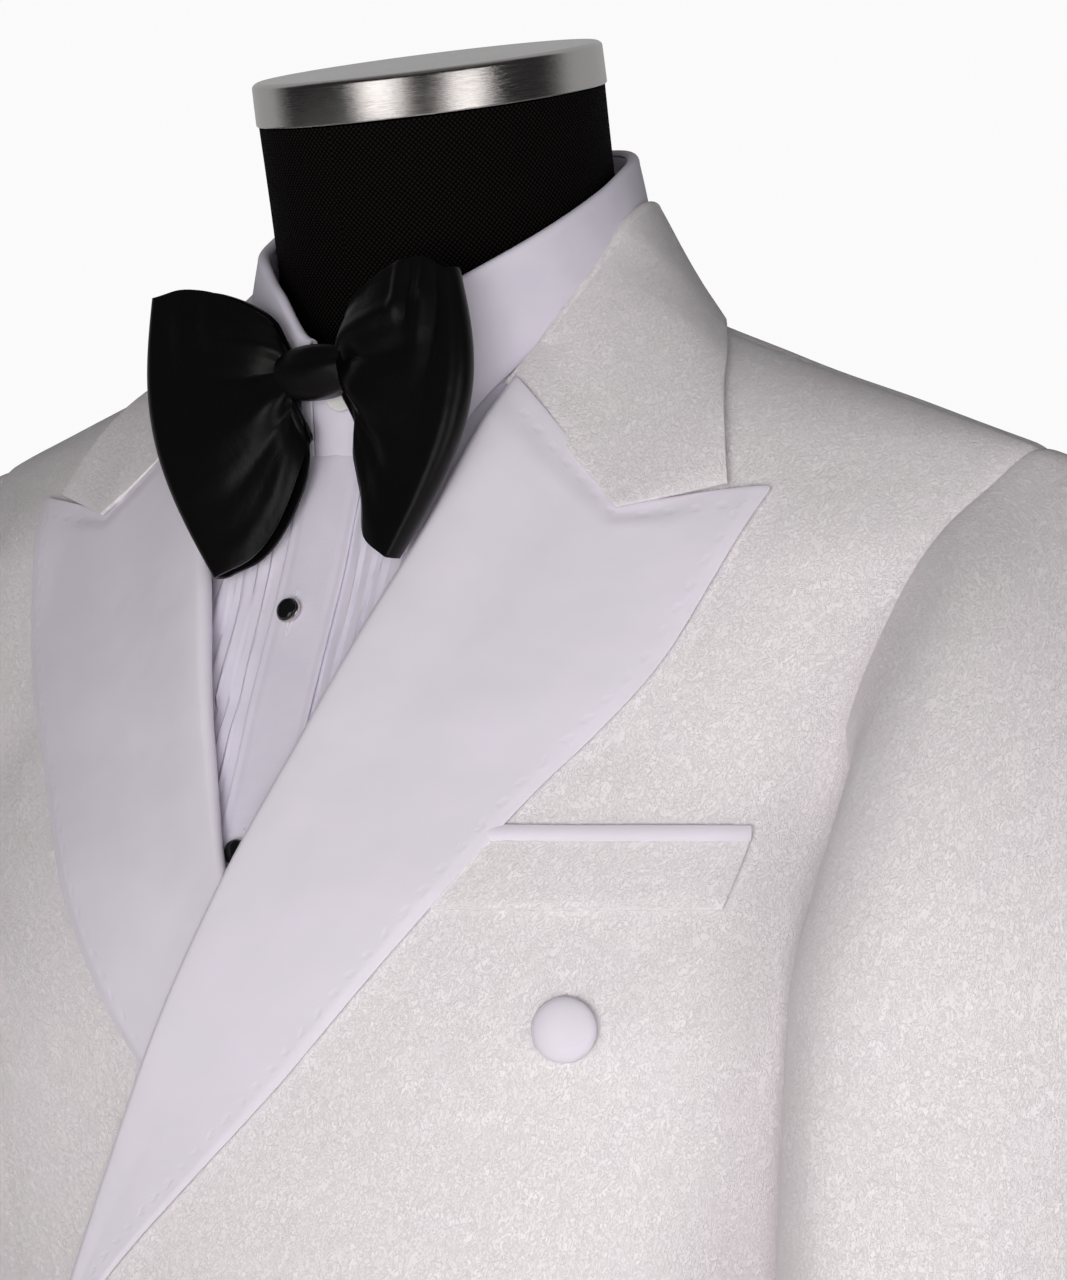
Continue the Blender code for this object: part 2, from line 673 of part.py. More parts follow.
def collar_point(u, v):
    turn = mix(COLLAR[0].turn, 360 - COLLAR[0].turn, u)
    right = turn > 180
    cut = 360 - turn if right else turn
    read = {name: column(COLLAR, "turn", cut, name) for name in CollarCut._fields}
    fold = ring_point(COLLAR_FOLD_RING, cut, read["fold_z"])
    outward = Vector((fold.x, fold.y - COLLAR_FOLD_RING[2], 0)).normalized()
    radius = COLLAR_FOLD_RADIUS
    row = v * COLLAR_ROWS
    if row <= COLLAR_FALL_ROWS:
        t = row / COLLAR_FALL_ROWS
        edge = lap_point(read["edge_x"], read["edge_lap"], COLLAR_LIFT)
        top = fold + outward * 2 * radius
        crown = (edge + top) / 2 + Vector((0, 0, COLLAR_SWELL)) + outward * COLLAR_SWELL_OUT
        free = edge * (1 - t) * (1 - 2 * t) + crown * 4 * t * (1 - t) + top * t * (2 * t - 1)
        notch = on_front(NOTCH.x + 4 * SEAM, NOTCH.z + 4 * SEAM, COLLAR_LIFT)
        end = edge.lerp(notch, 2 * t) if t <= 0.5 else notch.lerp(top, 2 * t - 1)
        place = free.lerp(end, ease(82, 55, cut))
        place = clear_of_body(place, COLLAR_LIFT)
    elif row <= COLLAR_FALL_ROWS + COLLAR_FOLD_ROWS:
        angle = math.pi * (row - COLLAR_FALL_ROWS) / COLLAR_FOLD_ROWS
        place = fold + outward * radius * (1 + math.cos(angle)) + Vector(
            (0, 0, radius * math.sin(angle)))
    else:
        t = (row - COLLAR_FALL_ROWS - COLLAR_FOLD_ROWS) / (
            COLLAR_ROWS - COLLAR_FALL_ROWS - COLLAR_FOLD_ROWS)
        place = fold.lerp(ring_point(COLLAR_STAND_RING, cut, read["stand_z"]), t)
    return Vector((-place.x, place.y, place.z)) if right else place


def make_collar():
    sheet("collar", "jacquard", COLLAR_ROWS, COLLAR_COLUMNS, collar_point, CLOTH)


# ------------------------------------------------------------------ shirt
SHIRT_NECK_X = 0.0665
SHIRT_ROW_HEIGHTS = (1.000, 1.075, 1.115, 1.200, 1.280, ARCH_Z)
SHIRT_ROWS_ABOVE = 4
SHIRT_ROWS = len(SHIRT_ROW_HEIGHTS) - 1 + SHIRT_ROWS_ABOVE
SHIRT_TUCKED = -0.0190    # how deep the shirt lies where it is tucked into the trousers
SHIRT_SEAM = 0.0022       # room between the shirt's neck and its band
SHIRT_NECK_OUT = -0.005   # how far the shirt lies outside the body at its neck
SHIRT_TOP_ROOM = 0.006    # levels between the shirt's top edge and the neckline
SHIRT_ARM_IN = 0.004
PLACKET_ROOM = 0.001
TUCK_TURN = 0.0004        # width of the cloth turned back under a tuck
PLACKET_HALF = 0.0125
TUCK = 0.0050
TUCKS = 5
TUCK_RISE = 0.0009
BAND_TOP = (0.0598, 0.0712, -0.0197)
BandHeight = namedtuple("BandHeight", "turn z")
BAND_HEIGHTS = (
    BandHeight(0, 1.4875),
    BandHeight(10, 1.4892),
    BandHeight(30, 1.5000),
    BandHeight(45, 1.5098),
    BandHeight(60, 1.5196),
    BandHeight(75, 1.5297),
    BandHeight(90, 1.5395),
    BandHeight(110, 1.5510),
    BandHeight(140, 1.5605),
    BandHeight(180, 1.5645),
)
BAND_GAP_TURN = 7.0


def shirt_out(turn, level=1.5):
    """How far the shirt lies outside the body; it is tucked in at the waist."""
    free = mix(-0.0060, -0.0085, ease(15, 60, min(abs(turn), abs(180 - turn) + 30)))
    tucked = (1.110 - HEM_Z) / (ARCH_Z - HEM_Z)
    return mix(free, SHIRT_TUCKED, ease(tucked, tucked - 0.04, level))


def shirt_neck(turn):
    """Neck seam of the shirt by turn."""
    place = ring_point(SHIRT_NECKLINE, turn, 0)
    level = level_over(abs(place.x), place.y, SHIRT_NECK_OUT)
    body_turn = turn_at(place.x, level)
    if place.y >= SHOULDER_Y:
        body_turn = 180 - body_turn
    return skin(body_turn, level, shirt_out(body_turn))


def band_top(turn, out=0.0):
    half_x, half_y, y = BAND_TOP
    place = ring_point((half_x + out, half_y + out, y), turn, 0)
    place.z = column(BAND_HEIGHTS, "turn", abs((turn + 180) % 360 - 180), "z")
    return place


def shirt_level(v, top):
    row = v * SHIRT_ROWS
    below = len(SHIRT_ROW_HEIGHTS) - 1
    if row <= below:
        return row_level(row, SHIRT_ROW_HEIGHTS)
    return 1 + (top - 1) * (row - below) / SHIRT_ROWS_ABOVE


def shirt_front_xs():
    """x of each column of a shirt front and how far its tucks stand proud there."""
    columns = [(SEAM, 0.0), (PLACKET_HALF + PLACKET_ROOM, 0.0)]
    for k in range(TUCKS):
        x = PLACKET_HALF + PLACKET_ROOM + k * TUCK
        columns.append((x + TUCK - TUCK_TURN, TUCK_RISE))
        columns.append((x + TUCK, 0.0))
    return columns


PLAIN_COLUMNS = (0.0520, 0.0620, SHIRT_NECK_X, 0.105, 0.155, None)   # x at the top edge


def shirt_front_point(u, v, columns):
    """A shirt front: tucks beside the placket, then plain cloth to the side and the armhole."""
    k = round(u * (len(columns) - 1 + len(PLAIN_COLUMNS)))
    if k < len(columns):
        x, proud = columns[k]
        level = shirt_level(v, neckline_level(x, SHIRT_NECKLINE, SHIRT_NECK_OUT)[0] - SHIRT_TOP_ROOM)
        turn = turn_at(x, level)
        return skin(turn, level, shirt_out(turn, level) + proud)
    k -= len(columns) - 1
    x_top = PLAIN_COLUMNS[k - 1]
    top = SHOULDER_END
    if x_top and x_top < SHIRT_NECK_X:
        top = neckline_level(x_top, SHIRT_NECKLINE, SHIRT_NECK_OUT)[0]
    level = shirt_level(v, top - SHIRT_TOP_ROOM)
    levels = levels_of(ARMHOLE_FRONT)
    outer = 90 - HALF_SEAM_TURN
    if level >= levels[0]:
        outer = turn_at(through(levels, [r.x for r in ARMHOLE_FRONT], level) - SHIRT_ARM_IN, level)
    even = mix(turn_at(columns[-1][0], level), outer, (k / len(PLAIN_COLUMNS)) ** 1.6)
    upper = turn_at(x_top, level) if x_top else outer
    turn = mix(even, min(upper, outer), ease(0.5, 1, v))
    return skin(turn, level, shirt_out(turn, level))


def make_shirt():
    columns = shirt_front_xs()
    for side, mirrored in (("left", False), ("right", True)):
        sheet(f"shirt_front_{side}", "shirting", SHIRT_ROWS, len(columns) - 1 + len(PLAIN_COLUMNS),
              lambda u, v: shirt_front_point(u, v, columns), SHIRTING, mirrored)
    sheet("shirt_placket", "shirting", SHIRT_ROWS, 2, placket_point, SHIRTING)
    sheet("shirt_back", "shirting", SHIRT_ROWS, 12, shirt_back_point, SHIRTING)
    sheet("shirt_band", "shirting", 2, BAND_COLUMNS, band_point, SHIRTING)
    sheet("shirt_collar", "shirting", LEAF_FALL_ROWS + LEAF_FOLD_ROWS, BAND_COLUMNS, leaf_point,
          SHIRTING)


def placket_point(u, v):
    x = mix(-PLACKET_HALF, PLACKET_HALF, u)
    level = shirt_level(v, neckline_level(x, SHIRT_NECKLINE, SHIRT_NECK_OUT)[0] - SHIRT_TOP_ROOM)
    turn = turn_at(x, level)
    return skin(turn, level, shirt_out(0, level) + SHIRTING + SEAM)


SHIRT_BACK_XS = (0.0, 0.030, 0.052, SHIRT_NECK_X, 0.105, 0.155, None)   # x at the top edge


def shirt_back_point(u, v):
    """The shirt's back, one piece from side seam to side seam."""
    side = 1 if u <= 0.5 else -1
    k = round(abs(1 - 2 * u) * (len(SHIRT_BACK_XS) - 1))
    x_top = SHIRT_BACK_XS[k]
    top = SHOULDER_END
    if x_top is not None and x_top < SHIRT_NECK_X:
        top = neckline_level(x_top, SHIRT_NECKLINE, SHIRT_NECK_OUT)[1]
    level = shirt_level(v, top - SHIRT_TOP_ROOM)
    levels = levels_of(ARMHOLE_BACK)
    outer = 90 - HALF_SEAM_TURN
    if level >= levels[0]:
        outer = turn_at(through(levels, [r.x for r in ARMHOLE_BACK], level) - SHIRT_ARM_IN, level)
    upper = outer if x_top is None else turn_at(x_top, level)
    turn = mix(outer * k / (len(SHIRT_BACK_XS) - 1), min(upper, outer), ease(0.5, 1, v))
    place = skin(180 - turn, level, shirt_out(180 - turn, level))
    return Vector((side * place.x, place.y, place.z))


BAND_COLUMNS = 22
STRAP_COLUMNS = (2, 20)   # columns of the band between which the bow tie's strap runs


def band_line(turn, share):
    """A point of the band by turn and by share of the way from the neck seam to its top."""
    return (shirt_neck(turn) + Vector((0, 0, SHIRT_SEAM))).lerp(band_top(turn), share)


def band_turn(column_number):
    return mix(-BAND_GAP_TURN, 359.5 - BAND_GAP_TURN, column_number / BAND_COLUMNS)


def band_point(u, v):
    return band_line(band_turn(u * BAND_COLUMNS), v)


LeafCut = namedtuple("LeafCut", "turn low_turn low_z flare")
LEAF = (
    # flare is the room between the band's inner face and the fall's free edge
    LeafCut(5, 27, 1.437, 0.0070),
    LeafCut(35, 46, 1.475, 0.0026),
    LeafCut(70, 76, 1.500, 0.0027),
    LeafCut(100, 102, 1.512, 0.0031),
    LeafCut(140, 140, 1.524, 0.0032),
    LeafCut(180, 180, 1.530, 0.0032),
)
LEAF_FALL_ROWS = 3
LEAF_FOLD_ROWS = 3
LEAF_RADIUS = 0.0012
LEAF_ROOM = 0.0009        # the fold's inner side stands this far outside the band's
LEAF_SWELL = 0.0004
LEAF_IN = 0.0020           # the fall's free edge stays outside the body drawn in by this


def leaf_turn(number):
    """Turn of a column of the fall; between its points the columns are the band's own."""
    first, last = STRAP_COLUMNS
    if number < first:
        return mix(LEAF[0].turn, band_turn(first), number / first)
    if number > last:
        return mix(band_turn(last), 360 - LEAF[0].turn, (number - last) / (BAND_COLUMNS - last))
    return band_turn(number)


def leaf_point(u, v):
    """The turned-down collar: a fall outside the band and a soft fold over the band's top."""
    turn = leaf_turn(u * BAND_COLUMNS)
    right = turn > 180
    cut = 360 - turn if right else turn
    base = band_top(cut, LEAF_ROOM)
    outward = Vector((base.x, base.y - BAND_TOP[2], 0)).normalized()
    row = v * (LEAF_FALL_ROWS + LEAF_FOLD_ROWS)
    if row <= LEAF_FALL_ROWS:
        t = row / LEAF_FALL_ROWS
        low_turn = column(LEAF, "turn", cut, "low_turn")
        low_z = column(LEAF, "turn", cut, "low_z")
        bottom, top = band_line(low_turn, 0), band_line(low_turn, 1)
        low = bottom.lerp(top, (low_z - bottom.z) / (top.z - bottom.z))
        low.x = min(low.x, bottom.x)
        away = Vector((low.x, low.y - BAND_TOP[2], 0)).normalized()
        low = clear_of_body(low + away * column(LEAF, "turn", cut, "flare"), -LEAF_IN)
        high = base + outward * 2 * LEAF_RADIUS
        place = low.lerp(high, t) + outward * LEAF_SWELL * math.sin(math.pi * t)
    else:
        angle = math.pi * (row - LEAF_FALL_ROWS) / LEAF_FOLD_ROWS
        place = base + outward * LEAF_RADIUS * (1 + math.cos(angle)) + Vector(
            (0, 0, SEAM + LEAF_RADIUS * math.sin(angle)))
    return Vector((-place.x, place.y, place.z)) if right else place


def make_shirt_sleeves():
    for side, mirrored in (("left", False), ("right", True)):
        tube(f"shirt_sleeve_{side}", "shirting", 6, round(360 / SLEEVE_COLUMN), shirt_sleeve_point,
             SHIRTING, mirrored)
        tube(f"shirt_cuff_{side}", "shirting", 2, 14, shirt_cuff_point, SHIRTING, mirrored)


SHIRT_CUFF_LOW = 0.846
SHIRT_CUFF_HIGH = 0.906
SHIRT_INSET = 0.0080      # how far the shirt's sleeve lies inside the jacket's
SHIRT_SLEEVE_TOP = 0.82   # its head ends within the jacket's armhole


def shirt_sleeve_point(turn, v):
    low = (SHIRT_CUFF_HIGH + SEAM - SLEEVE[0].z) / (SLEEVE[-1].z - SLEEVE[0].z)
    low *= SLEEVE_ROWS_BELOW / SLEEVE_ROWS
    return sleeve_point(turn, mix(low, SHIRT_SLEEVE_TOP, v), SHIRT_INSET)


def shirt_cuff_point(turn, v):
    return sleeve_ring(turn, mix(SHIRT_CUFF_LOW, SHIRT_CUFF_HIGH, v), SHIRT_INSET)


# ------------------------------------------------------------------ bow tie
BOW_Y = -0.1015           # middle of a wing where it meets the knot
BOW_Z = 1.4787            # height of the knot
BOW_TILT = 4.0            # degrees; the wearer's left wing sits higher
BOW_DROOP = 0.13          # how far a wing comes forward for each metre it hangs down
BOW_GAP = 0.0042          # half the opening of a wing's loop
BOW_PINCH = 0.0020        # the same at the knot
BOW_SATIN = 0.0012
WING_BELLY = 0.0112       # how far the outer fold bows out
WING_SWELL = 0.0022       # how far its two faces bulge
BOW_DROOP_FROM = 1.492    # height above which a wing leans back
INNER_EDGE_BACK = 0.0055  # the hanging inner edge turns back to the shirt
Wing = namedtuple("Wing", "s x_low z_low x_high z_high")
WING = (
    # s from the knot to the outer fold, with the lower and the upper edge there
    Wing(0.00, 0.0100, 1.4702, 0.0100, 1.4875),
    Wing(0.14, 0.0100, 1.4610, 0.0165, 1.4990),
    Wing(0.35, 0.0120, 1.4460, 0.0265, 1.5055),
    Wing(0.60, 0.0180, 1.4300, 0.0400, 1.5112),
    Wing(0.82, 0.0245, 1.4175, 0.0500, 1.5120),
    Wing(1.00, 0.0335, 1.4155, 0.0568, 1.5085),
)
WING_LEAF_COLUMNS = 5
WING_FOLD_COLUMNS = 4
WING_ROWS = 8
WING_PLEATS = 2
WING_PLEAT_DEPTH = 0.0011
KNOT_HALF_LENGTH = 0.0080
KNOT_HALF_HEIGHT = 0.0092
KNOT_HALF_DEPTH = 0.0072
KNOT_FORWARD = 0.0006
KNOT_TAPER = 0.22         # share by which its ends are slimmer
STRAP_SHARES = (0.42, 0.86)   # lower and upper edge of the strap by share of the band's height
STRAP_SATIN = 0.0007


def tilted(place, tilt):
    """The place turned with the whole bow about the knot."""
    knot = Vector((0, BOW_Y, BOW_Z))
    return knot + Matrix.Rotation(-math.radians(tilt), 3, "Y") @ (place - knot)


def wing_point(u, v):
    """A wing: one loop of satin from the knot out, round its outer fold and back behind."""
    columns = 2 * WING_LEAF_COLUMNS + WING_FOLD_COLUMNS
    k = u * columns
    if k <= WING_LEAF_COLUMNS:
        s, side, turned_in = k / WING_LEAF_COLUMNS, -1.0, 0.0
    elif k >= WING_LEAF_COLUMNS + WING_FOLD_COLUMNS:
        s, side, turned_in = (columns - k) / WING_LEAF_COLUMNS, 1.0, 0.0
    else:
        angle = math.pi * (k - WING_LEAF_COLUMNS) / WING_FOLD_COLUMNS
        s, side, turned_in = 1.0, -math.cos(angle), math.sin(angle)
    low = Vector((column(WING, "s", s, "x_low"), 0, column(WING, "s", s, "z_low")))
    high = Vector((column(WING, "s", s, "x_high"), 0, column(WING, "s", s, "z_high")))
    place = low.lerp(high, v)
    belly = math.sin(math.pi * v)
    place.x += WING_BELLY * belly * s**2 + BOW_GAP * turned_in * (0.4 + 0.6 * belly)
    half = mix(BOW_PINCH, BOW_GAP, ease(0, 0.5, s)) * mix(0.6, 1.0, belly)
    half += WING_SWELL * belly * math.sin(math.pi * min(s, 0.9))
    crease = WING_PLEAT_DEPTH * (1 - ease(0.1, 0.9, s)) * math.cos(2 * math.pi * WING_PLEATS * v)
    back = INNER_EDGE_BACK * (1 - v) ** 3 * ease(0, 0.25, s) * ease(1.0, 0.6, s)
    droop = BOW_DROOP * (BOW_DROOP_FROM - place.z) * ease(0, 0.4, s)
    place.y = BOW_Y - droop + back + side * half + crease
    return place


def knot_point(turn, along):
    """The knot's band, a short barrel round the pinched middle."""
    swell = 1 - KNOT_TAPER * (2 * along - 1) ** 2
    return Vector((KNOT_HALF_LENGTH * (2 * along - 1),
                   BOW_Y - KNOT_FORWARD + KNOT_HALF_DEPTH * swell * math.cos(math.radians(turn)),
                   BOW_Z + KNOT_HALF_HEIGHT * swell * math.sin(math.radians(turn))))


def strap_point(u, v):
    """The neck strap, round the band and under the turned-down collar."""
    place = band_line(band_turn(mix(*STRAP_COLUMNS, u)), mix(*STRAP_SHARES, v))
    outward = Vector((place.x, place.y - BAND_TOP[2], 0)).normalized()
    return place + outward * (SHIRTING + SEAM)


def barrel(name, finish, segments, rings, point):
    """A closed barrel: the ends are flat and point(turn, along) gives its wall."""
    bm = bmesh.new()
    bmesh.ops.create_cone(bm, cap_ends=True, segments=segments, radius1=1, radius2=1, depth=1)
    bmesh.ops.subdivide_edges(
        bm, edges=[e for e in bm.edges if abs(e.verts[0].co.z - e.verts[1].co.z) > 0.5],
        cuts=rings - 1)
    for vert in bm.verts:
        turn = math.degrees(math.atan2(vert.co.x, -vert.co.y)) % 360
        vert.co = point(turn, vert.co.z + 0.5)
    bm.normal_update()
    bmesh.ops.recalc_face_normals(bm, faces=bm.faces[:])
    return piece(name, finish, bm)


def make_bow():
    for side, mirrored in (("left", False), ("right", True)):
        tilt = -BOW_TILT if mirrored else BOW_TILT
        sheet(f"bow_wing_{side}", "black_satin", WING_ROWS,
              2 * WING_LEAF_COLUMNS + WING_FOLD_COLUMNS,
              lambda u, v: tilted(wing_point(u, v), tilt), BOW_SATIN, mirrored)
    barrel("bow_knot", "black_satin", 14, 4,
           lambda turn, along: tilted(knot_point(turn, along), BOW_TILT))
    first, last = STRAP_COLUMNS
    sheet("bow_strap", "black_satin", 1, last - first, strap_point, STRAP_SATIN)


# ------------------------------------------------------------------ dress form
NECK_LEAN = 13.0          # degrees, forward
NECK_HALF_WIDTH = 0.0580
NECK_HALF_DEPTH = 0.0640
NECK_TOP = Vector((0, -0.0285, 1.5745))
NECK_LOW = 0.160          # length of the neck solid down into the chest
NECK_SPREAD = 0.03
CAP_HEIGHT = 0.0148
CAP_FLARE = 0.0008
FORM_BOTTOM_Z = 0.935
FORM_IN = 0.0200
FORM_HIPS_IN = 0.0260     # the same below the waist, inside the trousers
FORM_CHEST_SHARE = 0.6    # share of its rings that lie below the arch of the chest
FORM_TOP_LEVEL = 1.90
FORM_NARROW = (0.004, 0.028)   # how far its sides are drawn in at the chest and the shoulders
CAP_ROOM = 0.0004         # between the neck and the cap
PLATE_ROOM = 0.0008       # between the form's underside and the plate on the pole
PLATE_RADIUS, PLATE_HEIGHT, PLATE_FLARE = 0.030, 0.010, 0.022
SOCKET_ROOM, SOCKET_HEIGHT = 0.0004, 0.0300
POLE_X = 0.095
POLE_RADIUS = 0.0110
BASE_RADIUS = 0.2100
BASE_HEIGHT = 0.0140
FORM_RINGS = 11


def neck_frame():
    return Matrix.Translation(NECK_TOP) @ Matrix.Rotation(math.radians(NECK_LEAN), 4, "X")


def form_point(turn, v):
    """The torso: the body's sections, drawn in under the shirt and narrowed at the shoulders."""
    low = (FORM_BOTTOM_Z - HEM_Z) / (ARCH_Z - HEM_Z)
    if v < FORM_CHEST_SHARE:
        level = mix(low, 1.0, v / FORM_CHEST_SHARE)
    else:
        level = mix(1.0, FORM_TOP_LEVEL, (v - FORM_CHEST_SHARE) / (1 - FORM_CHEST_SHARE))
    narrow = mix(*FORM_NARROW, ease(0.8, 1.6, level))
    mirror = 1 if turn <= 180 else -1
    inside = mix(FORM_HIPS_IN, FORM_IN, ease(0.5, 0.7, level))
    place = skin(turn if turn <= 180 else 360 - turn, level, -inside, narrow)
    return Vector((mirror * place.x, place.y, place.z))


def make_form():
    body = barrel("form_body", "black_cloth", 20, FORM_RINGS, form_point)

    bm = bmesh.new()
    bmesh.ops.create_cone(bm, cap_ends=True, segments=28, radius1=1, radius2=1, depth=1)
    frame = neck_frame()
    for vert in bm.verts:
        down = 0.0 if vert.co.z > 0 else NECK_LOW
        spread = 1.0 + NECK_SPREAD * down / NECK_LOW
        vert.co = frame @ Vector((vert.co.x * NECK_HALF_WIDTH * spread,
                                  vert.co.y * NECK_HALF_DEPTH * spread, -down))
    mesh = bpy.data.meshes.new("neck")
    bm.to_mesh(mesh)
    bm.free()
    neck = bpy.data.objects.new("neck", mesh)
    CUTTERS.objects.link(neck)
    neck.hide_render = True
    neck.display_type = "WIRE"
    union = body.modifiers.new("neck", "BOOLEAN")
    union.operation = "UNION"
    union.solver = "EXACT"
    union.object = neck

    cap = turned("form_cap", "steel", [
        (0.0, 0.0), (NECK_HALF_WIDTH + CAP_FLARE, 0.0), (NECK_HALF_WIDTH + 0.0006, CAP_HEIGHT - 0.0020),
        (NECK_HALF_WIDTH - 0.0002, CAP_HEIGHT - 0.0005), (NECK_HALF_WIDTH - 0.0022, CAP_HEIGHT),
        (0.0, CAP_HEIGHT)][::-1], 32, Vector((0, 0, 0)), (0, 0, 1))
    deep = Matrix.Diagonal((1, NECK_HALF_DEPTH / NECK_HALF_WIDTH, 1, 1))
    cap.matrix_world = frame @ Matrix.Translation((0, 0, CAP_ROOM)) @ deep

    socket_top = BASE_HEIGHT + SOCKET_HEIGHT
    turned("form_pole", "steel", [
        (0.0, FORM_BOTTOM_Z - PLATE_ROOM), (PLATE_RADIUS, FORM_BOTTOM_Z - PLATE_ROOM),
        (PLATE_RADIUS, FORM_BOTTOM_Z - PLATE_HEIGHT), (POLE_RADIUS, FORM_BOTTOM_Z - PLATE_FLARE),
        (POLE_RADIUS, socket_top + SOCKET_ROOM), (0.0, socket_top + SOCKET_ROOM)],
        16, Vector((POLE_X, 0, 0)), (0, 0, 1))
    turned("form_base", "steel", [
        (0.0, BASE_HEIGHT), (BASE_RADIUS - 0.006, BASE_HEIGHT), (BASE_RADIUS - 0.001, 0.010),
        (BASE_RADIUS, 0.006), (BASE_RADIUS - 0.001, 0.0), (0.0, 0.0)],
        36, Vector((0, 0, 0)), (0, 0, 1))
    turned("form_socket", "steel", [
        (0.0, socket_top), (0.017, socket_top), (0.019, socket_top - 0.002),
        (0.026, BASE_HEIGHT + SOCKET_ROOM), (0.0, BASE_HEIGHT + SOCKET_ROOM)],
        16, Vector((POLE_X, 0, 0)), (0, 0, 1))


# ------------------------------------------------------------------ trousers
Leg = namedtuple("Leg", "z x y half_width half_depth")
LEG = (
    Leg(0.036, 0.098, 0.004, 0.056, 0.070),
    Leg(0.200, 0.098, 0.002, 0.058, 0.073),
    Leg(0.450, 0.096, 0.000, 0.064, 0.080),
    Leg(0.650, 0.092, 0.000, 0.073, 0.093),
    Leg(0.790, 0.088, 0.000, 0.082, 0.108),
    Leg(0.860, 0.088, 0.000, 0.086, 0.118),
)
CROTCH_Z = 0.795
SEAT_Z = 0.880
WAIST_Z = 1.040
TROUSER_IN = 0.0120       # how far the trousers lie inside the jacket
BELT_HEIGHT = 0.036
TROUSER_ROW_HEIGHTS = (0.036, 0.200, 0.400, 0.600, 0.720, 0.800, 0.860, 0.920, 0.980, WAIST_Z)
TROUSER_ROWS = len(TROUSER_ROW_HEIGHTS) - 1
CREASE = 0.006
INNER_SEAM_ROOM = 0.0020   # between the front and the back at a leg's inner seam
OUTER_SEAM_ROOM = 0.00025
CENTRE_SEAM_ROOM = 0.0014  # half the gap between the legs at the seat


def hip_point(turn, z, out):
    level = (z - HEM_Z) / (ARCH_Z - HEM_Z)
    return skin(turn, level, out)


def trouser_point(u, v, front):
    """Half a leg's tube: the front from the inner seam round to the side, or the back."""
    z = HEM_Z + (ARCH_Z - HEM_Z) * row_level(v * TROUSER_ROWS, TROUSER_ROW_HEIGHTS)
    side = 90 * (u if front else 1 - u)
    turn = side if front else 180 - side
    leg = {name: column(LEG, "z", z, name) for name in Leg._fields}
    around = math.radians(2 * side - 90)
    sign = -1 if front else 1
    ridge = CREASE * (1 - abs(2 * u - 1)) ** 3
    low = Vector((leg["x"] + leg["half_width"] * math.sin(around),
                  leg["y"] + sign * (leg["half_depth"] * math.cos(around) + ridge), z))
    hip = hip_point(turn, max(z, HEM_Z), -TROUSER_IN)
    hip.x = max(hip.x, SEAM)
    place = low.lerp(Vector((hip.x, hip.y, z)), ease(CROTCH_Z - 0.03, SEAT_Z + 0.04, z))
    inward = ease(CROTCH_Z - 0.10, CROTCH_Z, z)
    place.x = max(place.x, mix(0.0, CENTRE_SEAM_ROOM, inward))
    return place


def make_trousers():
    for side, mirrored in (("left", False), ("right", True)):
        for name, front in (("front", True), ("back", False)):
            def point(u, v, front=front):
                place = trouser_point(u, v, front)
                inner = ((1 - u) if front else u) ** 30 * ease(CROTCH_Z, CROTCH_Z - 0.06, place.z)
                outer = (u if front else 1 - u) ** 30
                apart = INNER_SEAM_ROOM * inner + OUTER_SEAM_ROOM * outer
                place.y += -apart if front else apart
                return place
            sheet(f"trouser_{name}_{side}", "jacquard", TROUSER_ROWS, 6, point, CLOTH, mirrored)
    tube("waistband", "satin", 1, 28, waistband_point, CLOTH)


def waistband_point(turn, v):
    mirror = 1 if turn <= 180 else -1
    z = WAIST_Z + SEAM + BELT_HEIGHT * v
    place = hip_point(turn if turn <= 180 else 360 - turn, z, -TROUSER_IN)
    return Vector((mirror * place.x, place.y, place.z))


# ------------------------------------------------------------------ pocket, buttons, studs
POCKET_TOP_Z = 1.3345
POCKET_OUTER_X = 0.1540
WELT_HEIGHT = 0.0205
WELT_SLANT = 0.0037
PIPING_HEIGHT = 0.0042
POCKET_CLEAR = 0.0035     # between the lapel's edge and the pocket's inner end
WELT_CLOTH, PIPING_SATIN = 0.0010, 0.0013


def make_pocket():
    guide = front_guide(True)

    def welt_point(u, v):
        z = POCKET_TOP_Z - PIPING_HEIGHT - SEAM - WELT_HEIGHT * (1 - v)
        inner = column(LAPEL_EDGE, "z", z, "x") + POCKET_CLEAR
        outer = POCKET_OUTER_X - WELT_SLANT * (1 - v)
        return laid_on(guide, mix(inner, outer, u), z, CLOTH + LAYER)

    def piping_point(u, v):
        z = POCKET_TOP_Z - PIPING_HEIGHT * (1 - v)
        x = mix(column(LAPEL_EDGE, "z", z, "x") + POCKET_CLEAR, POCKET_OUTER_X, u)
        return laid_on(guide, x, z, CLOTH + LAYER)

    sheet("breast_welt", "jacquard", 3, 7, welt_point, WELT_CLOTH)
    sheet("breast_piping", "satin", 1, 7, piping_point, PIPING_SATIN)


BUTTON_ROOM = 0.0006      # between a button or stud and the cloth under it
BUTTON_ROWS = ((1.2750, 0.1140), (1.150, 0.0640), (1.030, 0.0640))   # height and x


def make_buttons():
    profile = [(0.0, 0.0047), (0.0052, 0.0043), (0.0086, 0.0030), (BUTTON_RADIUS, 0.0011),
               (0.0090, 0.0), (0.0, 0.0)]
    number = 0
    for z, x in BUTTON_ROWS:
        for side in (1, -1):
            number += 1
            lift = overlap_lift(x * side, z) if x * side > -FRONT_EDGE_X else 0.0
            base = lift + CLOTH + BUTTON_ROOM
            place = on_front(x * side, z, base)
            turned(f"button_{number}", "satin", profile, 12, place, facing_at(x * side, z, base))


STUDS = ((-0.0040, 1.4015), (-0.0025, 1.3240))   # x and height
BAND_BUTTON = (0.0046, 1.4690)   # x and height


